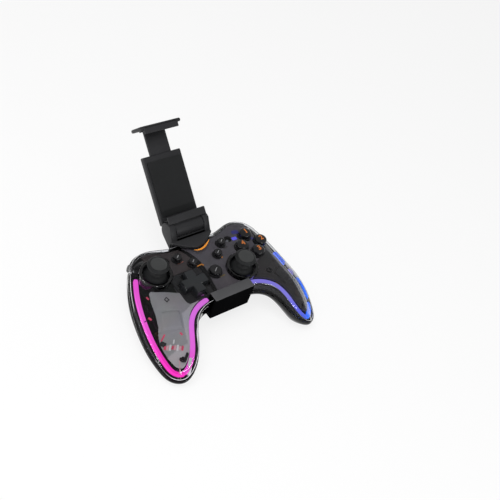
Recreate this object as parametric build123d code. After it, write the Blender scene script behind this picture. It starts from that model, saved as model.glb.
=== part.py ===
"""Wireless gamepad in a clear casing with lit grips, and a clip-on folding cradle that holds a phone.

Everything is drawn in face coordinates: X to the player's right, Y away from the player, Z up, with
zero height on the flat face of the pad. At the end every piece is lowered onto the table by one shift.
"""

import os
from math import cos, exp, hypot, log, radians, sin

from build123d import *

# Casing, in millimetres
half_width = 78.0
back_y = 31.0
shoulder_x = 43.0
shoulder_y = 37.0
waist_y = -30.0
grip_tip_x = 62.0
grip_tip_y = -68.5
inner_grip_x = 42.0
wall = 1.8
rest_depth = 38.0
waist_depth = 16.5
hump_depth = 32.0
parting_depth = 12.0

# How the face falls away towards the rims
crown_start = 46.0
crown_rate = 0.0195
droop_start = 25.0
droop_rate = 0.012
rear_start = 24.0
rear_rate = 0.018

# Clearances
fit_gap = 0.05
slip_gap = 0.35
layer_gap = 1.2
piece_gap = 0.4

# Controls: places on the face
left_stick = (-46.3, 11.0)
right_stick = (23.3, -10.4)
face_cluster = (46.3, 8.0)
face_spacing = 10.0
dpad_place = (-23.3, -8.9)
outer_button = (21.6, 18.4)
inner_button = (12.3, 9.6)
home_place = (0.0, -5.2)

# Thumbsticks
stick_pivot_z = -9.0
stick_dome_radius = 12.0
stick_dome_wall = 1.2
stick_cap_radius = 8.8
stick_cap_height = 3.2
stick_height = 12.4
stick_neck_radius = 4.2
ring_width = 2.6
ring_inner_radius = 10.8
ring_height = 1.5
housing_half = 6.5
housing_wall = 0.8
yoke_half = 5.2
block_half = 2.8
shaft_half = 1.6
axle_radius = 1.0

# Direction pad
dpad_reach = 10.9
dpad_arm = 8.2
dpad_height = 3.4
dpad_pivot_z = -8.2
dpad_post_rise = 1.6
dpad_gap = 1.2
dpad_window = 1.5

# Buttons
face_button_radius = 5.3
face_button_height = 3.2
face_travel = 1.5
small_button_radius = 3.4
small_button_height = 1.6
home_radius = 5.0
home_height = 1.5
small_travel = 0.9
flange_width = 0.9
flange_thickness = 1.0

# Inner layers
panel_thickness = 1.2
band_width = 3.6
board_top = -13.0
board_thickness = 1.6
sheet_thickness = 1.0
dome_gap = 0.15
guide_inset = 3.4
guide_width = 4.2
guide_depth = 2.8
guide_start_y = 18.0
strip_thickness = 0.6
strip_margin = 1.0
battery_size = (46.0, 28.0, 7.6)
battery_y = 11.0
battery_top = -16.0

# Screws that hold the casing halves together
grip_screw = (60.0, -56.0)
back_screw = (31.0, 20.5)
boss_radius = 3.0
screw_radius = 1.2
screw_head_radius = 2.3
screw_head_height = 1.4
screw_cover = 2.4

# Rumble motors
motor_x = 59.0
motor_z = -22.5
motor_radius = 8.0
motor_length = 16.0
motor_front_y = -47.0
motor_shaft_radius = 1.0
weight_radius = 6.8
weight_thickness = 5.0

# Shoulder buttons
pocket_inner_x = 25.0
pocket_outer_x = 57.5
pocket_y = 26.5
pocket_top = -6.4
bracket_thickness = 1.5
bumper_height = 6.6
bumper_thickness = 2.6
bumper_pivot = (27.6, 30.4)
trigger_inner_x = 28.6
trigger_outer_x = 50.0
trigger_pivot = (31.2, -17.8)
pin_radius = 1.0
trigger_hub = 2.4
trigger_reach = 11.0
trigger_drop = 12.0
trigger_lip = 1.8

# Charging socket
socket_width = 9.0
socket_height = 3.2
socket_length = 7.3
socket_wall = 0.35

# Clip that grips the pad
clip_half_width = 19.0
clip_wall = 2.6
clip_gap = 0.3
clip_room = 0.5
clip_steps = 12
clip_foot_y = 12.0
clip_lip = 6.3
tongue_reach = 20.0
tongue_side_y = 30.0
window_half_width = 8.0
window_low = -18.0
window_high = -5.0
ear_width = 5.4
ear_radius = 8.0
hinge_y = 41.0
hinge_z = 5.0
hinge_pin_radius = 2.0

# Phone cradle: distances along and across the phone's back
lean = 40.4
phone_gap = 72.7
phone_thickness = 8.5
phone_edge = (45.0, 14.6)
cradle_half_width = 18.0
cradle_plate = 5.0
cradle_end = 53.0
barrel_radius = 6.6
barrel_gap = 0.35
saddle_reach = 4.6
saddle_edge = 3.4
jaw_pad = 1.0
jaw_thickness = 3.0
lip_reach = 2.5
lip_thickness = 2.0
slider_half_width = 9.8
slider_thickness = 2.6
slider_start = 24.5
channel_start = 6.0

far = 200.0


# Plan outline of the casing
def rim_points():
    """Right half of the widest outline, from the back centre round the grip to the front centre."""
    return [
        (0, back_y),
        (0.5 * clip_half_width, back_y),
        (clip_half_width + 1.0, back_y),
        (0.72 * shoulder_x, 0.5 * (back_y + shoulder_y)),
        (shoulder_x, shoulder_y),
        (shoulder_x + 11.5, shoulder_y - 4.0),
        (half_width - 14.5, shoulder_y - 15.5),
        (half_width - 7.3, shoulder_y - 32.0),
        (half_width - 2.0, shoulder_y - 54.0),
        (half_width, grip_tip_y + 31.0),
        (half_width - 1.8, grip_tip_y + 16.5),
        (grip_tip_x + 9.5, grip_tip_y + 5.5),
        (grip_tip_x, grip_tip_y),
        (grip_tip_x - 9.0, grip_tip_y + 3.2),
        (inner_grip_x + 4.6, grip_tip_y + 10.5),
        (inner_grip_x, grip_tip_y + 20.5),
        (inner_grip_x - 5.5, waist_y - 8.0),
        (inner_grip_x - 14.0, waist_y - 2.0),
        (clip_half_width + 1.0, waist_y),
        (0.5 * clip_half_width, waist_y),
        (0, waist_y),
    ]


RIM = Spline(*rim_points(), tangents=[(1, 0), (-1, 0)])


def rim_samples(inset, count=56):
    """Points of the right half outline moved inwards by inset."""
    points = []
    for step in range(count + 1):
        place = RIM @ (step / count)
        along = RIM % (step / count)
        points.append((place.X + along.Y * inset, place.Y - along.X * inset))
    points[0] = (0, points[0][1])
    points[-1] = (0, points[-1][1])
    return points


def outline(inset):
    """Closed face of the whole plan outline moved inwards by inset."""
    points = rim_samples(inset)
    right = Spline(*points, tangents=[(1, 0), (-1, 0)])
    left = Spline(*[(-x, y) for x, y in reversed(points)], tangents=[(-1, 0), (1, 0)])
    return make_face(Wire([right, left]))


# Heights of the face and of the belly over the plan
def ramp(value, softness=4.0):
    """Zero below nought and a straight line above it, with a soft bend."""
    if value > 30 * softness:
        return value
    return softness * log(1 + exp(value / softness))


def step_up(value):
    """Soft step from nought to one."""
    return 1 / (1 + exp(-value))


def face_height(x, y):
    """Crown to the sides, droop to the grip tips and fall at the back."""
    crown = crown_rate * ramp(x - crown_start) ** 2
    droop = droop_rate * ramp(-droop_start - y) ** 2
    rear = rear_rate * ramp(y - rear_start) ** 2
    return -crown - droop - rear


def grip_closeness(x, y):
    """One on the centre line of a grip, fading to nought beside it."""
    start = (crown_start + 10, waist_y + 24)
    end = (grip_tip_x - 1, grip_tip_y + 16)
    run_x, run_y = end[0] - start[0], end[1] - start[1]
    share = ((x - start[0]) * run_x + (y - start[1]) * run_y) / (run_x**2 + run_y**2)
    share = min(max(share, 0), 1)
    off = hypot(x - start[0] - share * run_x, y - start[1] - share * run_y)
    return exp(-((off / 14.0) ** 2))


def belly_height(x, y):
    centre = step_up((crown_start - 4 - x) / 6.0)
    hump = (hump_depth - waist_depth) * step_up((y - waist_y - 24) / 7.0) * centre
    shallow = waist_depth + hump - 0.6 * face_height(x, y)
    deep = shallow + (rest_depth + 0.9 - shallow) * grip_closeness(x, y)
    return -deep


def parting_height(x, y):
    return -parting_depth + 0.62 * face_height(x, y)


def surface(height):
    """Smooth sheet through a grid of heights over the whole plan."""
    reach_x = half_width + 10
    low_y = grip_tip_y - 10
    high_y = shoulder_y + 10
    columns = 36
    rows = 28
    grid = []
    for i in range(columns + 1):
        x = reach_x * (2 * i / columns - 1)
        line = []
        for j in range(rows + 1):
            y = low_y + (high_y - low_y) * j / rows
            line.append(Vector(x, y, height(abs(x), y)))
        grid.append(line)
    return Face.make_surface_from_array_of_points(grid, tol=0.05, min_deg=3, max_deg=5)


FACE_SHEET = surface(face_height)
BELLY_SHEET = surface(belly_height)
PARTING_SHEET = surface(parting_height)


def below(sheet, shift):
    return extrude(Pos(0, 0, shift) * sheet, far, dir=(0, 0, -1))


def above(sheet, shift):
    return extrude(Pos(0, 0, shift) * sheet, far, dir=(0, 0, 1))


def column(sketch, low=-far, high=far):
    """Upright prism of a plan sketch between two heights."""
    return Pos(0, 0, low) * extrude(sketch, high - low, dir=(0, 0, 1))


def block(x0, x1, y0, y1, z0, z1):
    size = (x1 - x0, y1 - y0, z1 - z0)
    return Pos((x0 + x1) / 2, (y0 + y1) / 2, (z0 + z1) / 2) * Box(*size)


def rod(x, y, z0, z1, radius):
    """Upright cylinder."""
    return Pos(x, y, (z0 + z1) / 2) * Cylinder(radius, z1 - z0)


def cross_rod(x0, x1, y, z, radius):
    """Cylinder along X."""
    return Pos((x0 + x1) / 2, y, z) * Rot(0, 90, 0) * Cylinder(radius, x1 - x0)


def long_rod(x, y0, y1, z, radius):
    """Cylinder along Y."""
    return Pos(x, (y0 + y1) / 2, z) * Rot(90, 0, 0) * Cylinder(radius, y1 - y0)


def side_extrusion(points, x0, x1):
    """Profile drawn as (y, z) points, pushed along X between two places."""
    wire = Polyline(*[(x0, y, z) for y, z in points], close=True)
    return extrude(make_face(wire), x1 - x0, dir=(1, 0, 0))


def mirrored(solid):
    return mirror(solid, about=Plane.YZ)


def body(inset):
    """The space inside the casing's skin moved inwards by inset."""
    lift = -rest_depth + inset
    return column(outline(inset), lift, 20) & below(FACE_SHEET, -inset) & above(BELLY_SHEET, inset)


def layer(plan, depth, thickness):
    """Sheet that follows the face at a depth below it, with the given plan."""
    return column(plan) & below(FACE_SHEET, -depth) & above(FACE_SHEET, -depth - thickness)


# Openings of the face, kept in one place for the casing and the panels
def plus_sketch(reach, arm):
    return Rectangle(2 * reach, arm) + Rectangle(arm, 2 * reach)


def dpad_hole(gap):
    sketch = plus_sketch(dpad_reach + gap, dpad_arm + 2 * gap)
    return column(Pos(*dpad_place) * sketch, -10, 10)


def face_button_places():
    x, y = face_cluster
    return {
        "top": (x, y + face_spacing),
        "right": (x + face_spacing, y),
        "bottom": (x, y - face_spacing),
        "left": (x - face_spacing, y),
    }


def small_button_places():
    return {
        "select": (-outer_button[0], outer_button[1]),
        "turbo": (-inner_button[0], inner_button[1]),
        "light": inner_button,
        "start": outer_button,
    }


ring_outer = ring_inner_radius + ring_width


def face_holes(gap):
    holes = []
    for x, y in (left_stick, right_stick):
        holes.append(rod(x, y, -12, 10, ring_outer + fit_gap))
    for x, y in face_button_places().values():
        holes.append(rod(x, y, -12, 10, face_button_radius + gap))
    for x, y in small_button_places().values():
        holes.append(rod(x, y, -10, 10, small_button_radius + gap))
    holes.append(rod(*home_place, -10, 10, home_radius + gap))
    return holes


def pocket(side):
    """Space at the back of one shoulder for its bumper and trigger."""
    space = block(pocket_inner_x, pocket_outer_x, pocket_y, shoulder_y + 20, -far, pocket_top)
    return space if side > 0 else mirrored(space)


def socket_hole():
    half = socket_width / 2 + slip_gap
    low = board_top - slip_gap
    high = board_top + socket_height + slip_gap
    return block(-half, half, back_y - 8, back_y + 5, low, high)


def screw_places():
    places = []
    for side in (-1, 1):
        places.append((side * grip_screw[0], grip_screw[1]))
        places.append((side * back_screw[0], back_screw[1]))
    return places


def boss_joint(x, y):
    """Height where the two screw bosses of one screw meet."""
    return parting_height(abs(x), y) - 3.0


OUTER = body(0)
INNER = body(wall)
SKIN = OUTER - INNER


def front_shell():
    shell = SKIN & above(PARTING_SHEET, 0)
    for x, y in screw_places():
        boss = rod(x, y, boss_joint(x, y), 5, boss_radius) & body(0.5 * wall)
        shell += boss
        shell -= rod(x, y, -far, face_height(abs(x), y) - 2 * wall, screw_radius + fit_gap)
    shell -= dpad_hole(dpad_gap)
    for hole in face_holes(slip_gap):
        shell -= hole
    shell -= pocket(1)
    shell -= pocket(-1)
    return shell - socket_hole()


def rear_shell():
    shell = SKIN & below(PARTING_SHEET, 0)
    for x, y in screw_places():
        post = rod(x, y, -far, boss_joint(x, y), boss_radius) & body(0.5 * wall)
        shell += post
    for x, y in screw_places():
        shell -= rod(x, y, -far, boss_joint(x, y) + 1, screw_radius + fit_gap)
        shell -= rod(x, y, -far, screw_seat(x, y), screw_head_radius + fit_gap)
    shell -= pocket(1)
    shell -= pocket(-1)
    return shell - socket_hole()


def screw_seat(x, y):
    """Height of the shoulder that a screw's head pulls against."""
    deepest = max(belly_height(abs(x), y), -rest_depth)
    return deepest + screw_cover


def shell_screws():
    screws = []
    for x, y in screw_places():
        seat = screw_seat(x, y)
        shank = rod(x, y, seat, face_height(abs(x), y) - 3 * wall, screw_radius)
        head = rod(x, y, seat - screw_head_height, seat, screw_head_radius)
        slot = block(x - 0.3, x + 0.3, y - 5, y + 5, seat - screw_head_height, seat - 0.8)
        screws.append(shank + head - slot)
    return Compound(children=screws)


# Panels under the clear face
panel_depth = wall + layer_gap
panel_edge = wall + layer_gap + 0.4
liner_edge = guide_inset + guide_width + piece_gap
bezel_half = dpad_reach + dpad_window + 1.8
bezel_corner = 4.0


def panel_cutouts():
    cuts = face_holes(flange_width + slip_gap)
    for x, y in screw_places():
        cuts.append(rod(x, y, -far, 5, boss_radius + slip_gap))
    cuts.append(dpad_hole(dpad_window))
    return cuts


def cut_panel(plan):
    panel = layer(plan, panel_depth, panel_thickness)
    for cut in panel_cutouts():
        panel -= cut
    return panel


def band_line(x_shift):
    """Swoosh that parts the left panel from the right one."""
    return [(-17 + x_shift, back_y), (-11 + x_shift, 18.5), (-8.4 + x_shift, 8), (-9.4 + x_shift, -5),
            (-11.6 + x_shift, waist_y)]


def left_of_band(x_shift):
    curve = Spline(*band_line(x_shift))
    start = curve @ 0
    end = curve @ 1
    rest = Polyline((end.X, end.Y), (end.X, -far), (-far, -far), (-far, far), (start.X, far),
                    (start.X, start.Y))
    return make_face(Wire([curve] + list(rest.edges())))


liner_top = {"outer": (-63, -1.0), "inner": (-33.5, -13.5)}


def half_plane(y, direction):
    """Plan area behind (1) or in front of (-1) a line across the pad."""
    side = Align.MIN if direction > 0 else Align.MAX
    return Pos(0, y) * Rectangle(2 * far, far, align=(Align.CENTER, side))


def panel_area():
    """Plan of all face panels: inside the lights, and up to the skin behind them."""
    behind = outline(panel_edge) & half_plane(guide_start_y + piece_gap, 1)
    left_end = left_stick[0]
    right_end = face_cluster[0] + face_spacing
    between = Pos((left_end + right_end) / 2, 0) * Rectangle(right_end - left_end, 2 * far)
    return (outline(liner_edge) + behind) & between


def bezel_plan(grow=0.0):
    side = 2 * (bezel_half + grow)
    return Pos(*dpad_place) * RectangleRounded(side, side, bezel_corner)


def face_panel_left():
    low_y = dpad_place[1] + bezel_half + piece_gap
    return cut_panel(panel_area() & left_of_band(0) & half_plane(low_y, 1))


def dpad_bezel():
    return cut_panel(bezel_plan() & left_of_band(0) & outline(liner_edge))


def centre_band():
    plan = (left_of_band(band_width) - left_of_band(piece_gap)) & outline(liner_edge)
    return cut_panel(plan)


def face_panel_right():
    (ox, oy), (ix, iy) = liner_top["outer"], liner_top["inner"]
    in_front = Polygon((right_stick[0], iy + piece_gap), (-ix, iy + piece_gap), (-ox, oy + piece_gap),
                       (far, oy + piece_gap), (far, -far), (right_stick[0], -far), align=None)
    return cut_panel(panel_area() - left_of_band(band_width + piece_gap) - in_front)


def liner_plan(side, grow=0.0):
    """Plan of one grip's liner, grown by a gap where it is used as a cut."""
    (ox, oy), (ix, iy) = liner_top["outer"], liner_top["inner"]
    area = Polygon((ox - 20, oy + grow), (ox, oy + grow), (ix + grow, iy + grow),
                   (ix + 8 + grow, iy - 9 + grow), (ix + 8 + grow, -far), (ox - 20, -far), align=None)
    plan = area & outline(liner_edge - grow)
    return plan if side < 0 else mirror(plan, about=Plane.YZ)


def grip_liner(side):
    plan = liner_plan(side)
    if side < 0:
        plan -= bezel_plan(piece_gap)
    return cut_panel(plan)


# Lights in the grips
def guide_plan(grow=0.0):
    """Plan of the right light guide: a band along the rim round the grip."""
    ring = outline(guide_inset + grow) - outline(guide_inset + guide_width - grow)
    reach = Rectangle(far, guide_start_y - grow + far, align=(Align.MIN, Align.MAX))
    start_x = clip_half_width + 0.4
    return ring & Pos(start_x + grow, guide_start_y - grow) * reach


def light_guide(side):
    guide = layer(guide_plan(), guide_inset, guide_depth)
    for x, y in (left_stick, right_stick):
        guide -= rod(abs(x), y, -20, 10, ring_outer + piece_gap)
    for x, y in face_button_places().values():
        guide -= rod(x, y, -20, 10, face_button_radius + flange_width + 2 * piece_gap)
    return guide if side > 0 else mirrored(guide)


def led_strip(side):
    ring = outline(guide_inset + strip_margin) - outline(guide_inset + guide_width - strip_margin)
    reach = Rectangle(far, guide_start_y + far - 16, align=(Align.MIN, Align.MAX))
    plan = ring & Pos(clip_half_width + 3, guide_start_y - 16) * reach
    strip = layer(plan, guide_inset + guide_depth + 0.1, strip_thickness)
    return strip if side > 0 else mirrored(strip)


# Electronics
def main_board():
    plan = outline(liner_edge + 1) & Pos(0, waist_y + 8) * Rectangle(
        2 * (crown_start + 13), pocket_y - waist_y - 10, align=(Align.CENTER, Align.MIN))
    plan += Pos(0, back_y - 12) * Rectangle(24, 9, align=(Align.CENTER, Align.MIN))
    board = column(plan, board_top - board_thickness, board_top)
    for x, y in screw_places():
        board -= rod(x, y, -far, 5, boss_radius + slip_gap)
    return board


def battery():
    length, depth, height = battery_size
    pack = block(-length / 2, length / 2, battery_y - depth / 2, battery_y + depth / 2,
                 battery_top - height, battery_top)
    return fillet(pack.edges().filter_by(Axis.Z), 2.0)


def usb_c_socket():
    half = socket_width / 2
    low, high = board_top, board_top + socket_height
    mouth = back_y - 0.3
    back = mouth - socket_length
    tube = block(-half, half, back, mouth, low, high)
    tube = fillet(tube.edges().filter_by(Axis.Y), socket_height / 2 - 0.1)
    inner = half - socket_wall
    hollow = block(-inner, inner, back + 1, mouth + 1, low + socket_wall, high - socket_wall)
    hollow = fillet(hollow.edges().filter_by(Axis.Y), socket_height / 2 - socket_wall - 0.1)
    middle = (low + high) / 2
    tongue = block(-half + 1.2, half - 1.2, back, mouth - 1.2, middle - 0.35, middle + 0.35)
    return tube - hollow + tongue


def membrane(places, radius, sheet_plan):
    """Rubber sheet on the board with one dome under each button; a place is x, y and the dome's top."""
    rubber = column(sheet_plan, board_top, board_top + sheet_thickness)
    for x, y, top in places:
        rubber += rod(x, y, board_top, top, radius)
        rubber -= rod(x, y, board_top - 1, top - 1.2, radius - 1.0)
    return rubber


def button_underside(x, y, radius):
    """Height of the lower face of a button's flange, which sits just under the front shell."""
    reach = radius + flange_width
    edge = [(x + reach, y), (x - reach, y), (x, y + reach), (x, y - reach)]
    lowest = min(face_height(abs(ex), ey) for ex, ey in edge)
    return lowest - wall - piece_gap - flange_thickness


def face_membrane():
    plan = Pos(*face_cluster) * plus_sketch(face_spacing + 4.6, 9.4)
    places = []
    for x, y in face_button_places().values():
        places.append((x, y, button_underside(x, y, face_button_radius) - face_travel - dome_gap))
    return membrane(places, 3.0, plan)


def centre_membrane():
    places = []
    for x, y in small_button_places().values():
        places.append((x, y, button_underside(x, y, small_button_radius) - small_travel - dome_gap))
    places.append((*home_place, button_underside(*home_place, home_radius) - small_travel - dome_gap))
    plan = Pos(0, home_place[1] + 10.0) * Rectangle(2 * inner_button[0] + 9, 29)
    plan += Pos(0, outer_button[1]) * Rectangle(2 * outer_button[0] + 9, 8)
    for sx in (-1, 1):
        plan -= Pos(sx * back_screw[0], back_screw[1]) * Circle(boss_radius + piece_gap)
    return membrane(places, 2.2, plan - dpad_floor_cut())


def dpad_floor_cut():
    half = dpad_reach + 2
    return Pos(*dpad_place) * Rectangle(2 * half, 2 * half)


def dpad_membrane():
    x, y = dpad_place
    reach = dpad_reach - 3.0
    top = -dpad_drop() - 1.6
    places = [(x + reach, y, top), (x - reach, y, top), (x, y + reach, top), (x, y - reach, top)]
    plan = Pos(x, y) * (plus_sketch(dpad_reach + 0.8, 7.4) - Rectangle(11, 11))
    plan += Pos(x, y) * (Rectangle(20, 20) - Rectangle(15.4, 15.4))
    return membrane(places, 2.4, plan)


def dpad_drop():
    """Depth of the underside of the direction pad's plate."""
    return panel_depth + panel_thickness + piece_gap + 1.0


# Buttons that press straight down
def push_button(x, y, radius, height, crown):
    """Cap with a domed top and a flange that keeps it under the panel."""
    surface_z = face_height(abs(x), y)
    low = button_underside(x, y, radius)
    cap = rod(x, y, low, surface_z + height, radius)
    sphere_radius = (radius**2 + crown**2) / (2 * crown)
    ball = Pos(x, y, surface_z + height - sphere_radius) * Sphere(sphere_radius)
    cap = cap & (ball + rod(x, y, low - 1, surface_z + height - crown, radius + 1))
    return cap + rod(x, y, low, low + flange_thickness, radius + flange_width)


# Direction pad on a cross of two axles
def dpad():
    x, y = dpad_place
    low = -dpad_drop()
    plate = column(Pos(x, y) * plus_sketch(dpad_reach, dpad_arm), low, dpad_height)
    plate = fillet(plate.edges().filter_by(GeomType.LINE).group_by(Axis.Z)[-1], 0.9)
    dish = Pos(x, y, dpad_height + 13.2) * Sphere(14.4)
    plate -= dish
    lugs = block(x - 2.6, x + 2.6, y - 5.2, y - 3.8, dpad_pivot_z - 1.8, low)
    lugs += block(x - 2.6, x + 2.6, y + 3.8, y + 5.2, dpad_pivot_z - 1.8, low)
    return plate + lugs + long_rod(x, y - 4.4, y + 4.4, dpad_pivot_z, axle_radius)


def dpad_rocker():
    x, y = dpad_place
    low, high = dpad_pivot_z - dpad_post_rise, dpad_pivot_z + dpad_post_rise
    core = block(x - 2.4, x + 2.4, y - 3.4, y + 3.4, low, high)
    core += cross_rod(x - 5.2, x - 2.4, y, dpad_pivot_z, axle_radius)
    core += cross_rod(x + 2.4, x + 5.2, y, dpad_pivot_z, axle_radius)
    return core - long_rod(x, y - 6, y + 6, dpad_pivot_z, axle_radius + fit_gap)


def dpad_support():
    x, y = dpad_place
    base = block(x - 5.2, x + 5.2, y - 2.6, y + 2.6, board_top, board_top + 1.0)
    posts = block(x - 5.2, x - 4.0, y - 2.2, y + 2.2, board_top, dpad_pivot_z + dpad_post_rise)
    posts += block(x + 4.0, x + 5.2, y - 2.2, y + 2.2, board_top, dpad_pivot_z + dpad_post_rise)
    return base + posts - cross_rod(x - 9, x + 9, y, dpad_pivot_z, axle_radius + fit_gap)


# Thumbsticks
def stick_ring(place):
    """Clear collar that guides the stick's dome."""
    x, y = place
    lip = rod(x, y, -2.9, ring_height, ring_outer) - rod(x, y, -4, 3, ring_inner_radius)
    lip = fillet(lip.edges().group_by(Axis.Z)[-1], 0.6)
    skirt = rod(x, y, -7.0, -2.9, ring_outer) - rod(x, y, -8, 0, ring_outer - 1.0)
    return lip + skirt


def stick_housing(place):
    x, y = place
    top = stick_pivot_z + 3.0
    half = housing_half
    inner = half - housing_wall
    box = block(x - half, x + half, y - half, y + half, board_top, top)
    box -= block(x - inner, x + inner, y - inner, y + inner, board_top + 0.6, top + 1)
    box -= cross_rod(x - half - 1, x + half + 1, y, stick_pivot_z, axle_radius + fit_gap)
    sensor = block(x + half, x + half + 1.8, y - 4, y + 4, board_top, stick_pivot_z - 1.4)
    return box + sensor


def stick_yoke(place):
    x, y = place
    z = stick_pivot_z
    frame = block(x - yoke_half, x + yoke_half, y - yoke_half, y + yoke_half, z - 1.5, z + 1.5)
    room = block_half + 0.6
    frame -= block(x - room, x + room, y - block_half - slip_gap, y + block_half + slip_gap, z - 3, z + 3)
    frame -= long_rod(x, y - 9, y + 9, z, axle_radius + fit_gap)
    frame += cross_rod(x - housing_half + 0.1, x - yoke_half, y, z, axle_radius)
    return frame + cross_rod(x + yoke_half, x + housing_half - 0.1, y, z, axle_radius)


def pivot_block(place):
    x, y = place
    z = stick_pivot_z
    core = block(x - block_half, x + block_half, y - block_half, y + block_half, z - 1.6, z + 1.6)
    core += long_rod(x, y - yoke_half, y + yoke_half, z, axle_radius)
    hole = shaft_half + fit_gap
    return core - block(x - hole, x + hole, y - hole, y + hole, z - 3, z + 3)


def stick_shaft(place):
    x, y = place
    low = stick_pivot_z - 2.2
    return block(x - shaft_half, x + shaft_half, y - shaft_half, y + shaft_half, low, stick_height - 4.5)


def thumbstick(place):
    x, y = place
    z = stick_pivot_z
    dome = Pos(x, y, z) * (Sphere(stick_dome_radius) - Sphere(stick_dome_radius - stick_dome_wall))
    dome = dome & rod(x, y, z + 3.7, z + 20, stick_dome_radius + 1)
    neck = rod(x, y, z + stick_dome_radius - stick_dome_wall, stick_height - 1.5, stick_neck_radius)
    cap = rod(x, y, stick_height - stick_cap_height, stick_height, stick_cap_radius)
    cap = fillet(cap.edges().filter_by(GeomType.CIRCLE), 0.9)
    cap -= Pos(x, y, stick_height + 27.6) * Sphere(28.6)
    stick = dome + neck + cap
    socket = block(x - shaft_half, x + shaft_half, y - shaft_half, y + shaft_half, z, stick_height - 4.5)
    return stick - socket


# Rumble motors in the grips
motor_back_y = motor_front_y + motor_length


def rumble_motor(side):
    can = long_rod(motor_x, motor_front_y, motor_back_y, motor_z, motor_radius)
    can = fillet(can.edges().filter_by(GeomType.CIRCLE), 1.0)
    shaft_end = motor_back_y + weight_thickness + 1.2
    can += long_rod(motor_x, motor_back_y, shaft_end, motor_z, motor_shaft_radius)
    return can if side > 0 else mirrored(can)


def rumble_weight(side):
    start = motor_back_y + 0.8
    disc = long_rod(motor_x, start, start + weight_thickness, motor_z, weight_radius)
    disc -= block(motor_x - far, motor_x + far, start - 1, start + weight_thickness + 1, motor_z + 2.2, far)
    disc -= long_rod(motor_x, start - 1, start + weight_thickness + 1, motor_z, motor_shaft_radius + fit_gap)
    return disc if side > 0 else mirrored(disc)


def motor_cradle(side):
    """Saddle that carries a rumble motor on the belly."""
    saddle = block(motor_x - 6.5, motor_x + 6.5, motor_front_y + 3, motor_back_y - 3,
                   -rest_depth, motor_z - 3)
    saddle = saddle & body(wall)
    saddle -= long_rod(motor_x, motor_front_y - 1, motor_back_y + 1, motor_z, motor_radius)
    return saddle if side > 0 else mirrored(saddle)


# Shoulder buttons
bumper_top = pocket_top - 0.4
bumper_low = bumper_top - bumper_height


def trigger_bracket(side):
    """Plate behind the shoulder pocket with the ears and posts that carry both shoulder buttons."""
    plate_y = pocket_y + bracket_thickness
    y, z = trigger_pivot
    bracket = block(pocket_inner_x + 0.4, pocket_outer_x - 0.4, pocket_y, plate_y, z - 9, bumper_low - 0.4)
    inner_x, outer_x = trigger_inner_x - 0.4, trigger_outer_x + 0.4
    for x0, x1 in ((inner_x - 1.7, inner_x), (outer_x, outer_x + 1.5)):
        bracket += block(x0, x1, plate_y, y + trigger_hub, z - 3, z + 2.6)
    px, py = bumper_pivot
    bracket += block(pocket_inner_x + 0.4, px + 2.2, plate_y, py + 2.2, bumper_low - 1.5, bumper_low - 0.4)
    bracket += rod(px, py, bumper_low - 0.5, bumper_top, pin_radius)
    bracket -= cross_rod(trigger_inner_x - 3, trigger_outer_x + 3, y, z, pin_radius)
    return bracket if side > 0 else mirrored(bracket)


def trigger_pin(side):
    y, z = trigger_pivot
    pin = cross_rod(trigger_inner_x - 1.9, trigger_outer_x + 1.7, y, z, pin_radius)
    return pin if side > 0 else mirrored(pin)


def bumper(side):
    band = outline(-0.6) - outline(bumper_thickness - 0.6)
    reach = Pos(pocket_inner_x + 0.5, pocket_y + 0.4) * Rectangle(
        pocket_outer_x - pocket_inner_x - 1.2, 40, align=(Align.MIN, Align.MIN))
    blade = column(band & reach, bumper_low, bumper_top)
    px, py = bumper_pivot
    arm = block(px - 1.6, px + 1.6, py, py + 3.0, bumper_low, bumper_top)
    boss = rod(px, py, bumper_low, bumper_top, pin_radius + 1.2)
    piece = blade + arm + boss - rod(px, py, -far, 10, pin_radius + fit_gap)
    return piece if side > 0 else mirrored(piece)


def trigger(side):
    y, z = trigger_pivot
    x0, x1 = trigger_inner_x, trigger_outer_x
    far_y = y + trigger_reach
    tip = z - trigger_drop
    start_y = y - 0.2 * trigger_hub
    back = Spline((start_y, z + trigger_hub), (y + 0.54 * trigger_reach, z + 0.35 * trigger_hub),
                  (y + 0.88 * trigger_reach, z - 0.24 * trigger_drop), (far_y, z - 0.63 * trigger_drop),
                  (far_y - 0.3, tip))
    front = Spline((far_y - 0.3 - trigger_lip, tip), (y + 0.74 * trigger_reach, z - 0.58 * trigger_drop),
                   (y + 0.48 * trigger_reach, z - 0.33 * trigger_drop), (start_y, z - trigger_hub))
    ends = [Line(back @ 1, front @ 0), Line(front @ 1, back @ 0)]
    profile = Plane.YZ * make_face(Wire([back, front] + ends))
    blade = Pos(x0, 0, 0) * extrude(profile, x1 - x0, dir=(1, 0, 0))
    hub = cross_rod(x0, x1, y, z, trigger_hub)
    piece = blade + hub - cross_rod(x0 - 1, x1 + 1, y, z, pin_radius + fit_gap)
    return piece if side > 0 else mirrored(piece)


# Clip that holds the cradle on the pad
clip_front = waist_y - clip_gap
clip_back = back_y + clip_gap
clip_top = clip_gap + clip_wall


def under_belly(y, depth):
    """Point of the clip's side view at a depth below the lowest part of the belly over the clip."""
    lowest = min(belly_height(0, y), belly_height(clip_half_width, y))
    return (y, max(lowest - depth, -rest_depth))


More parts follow.
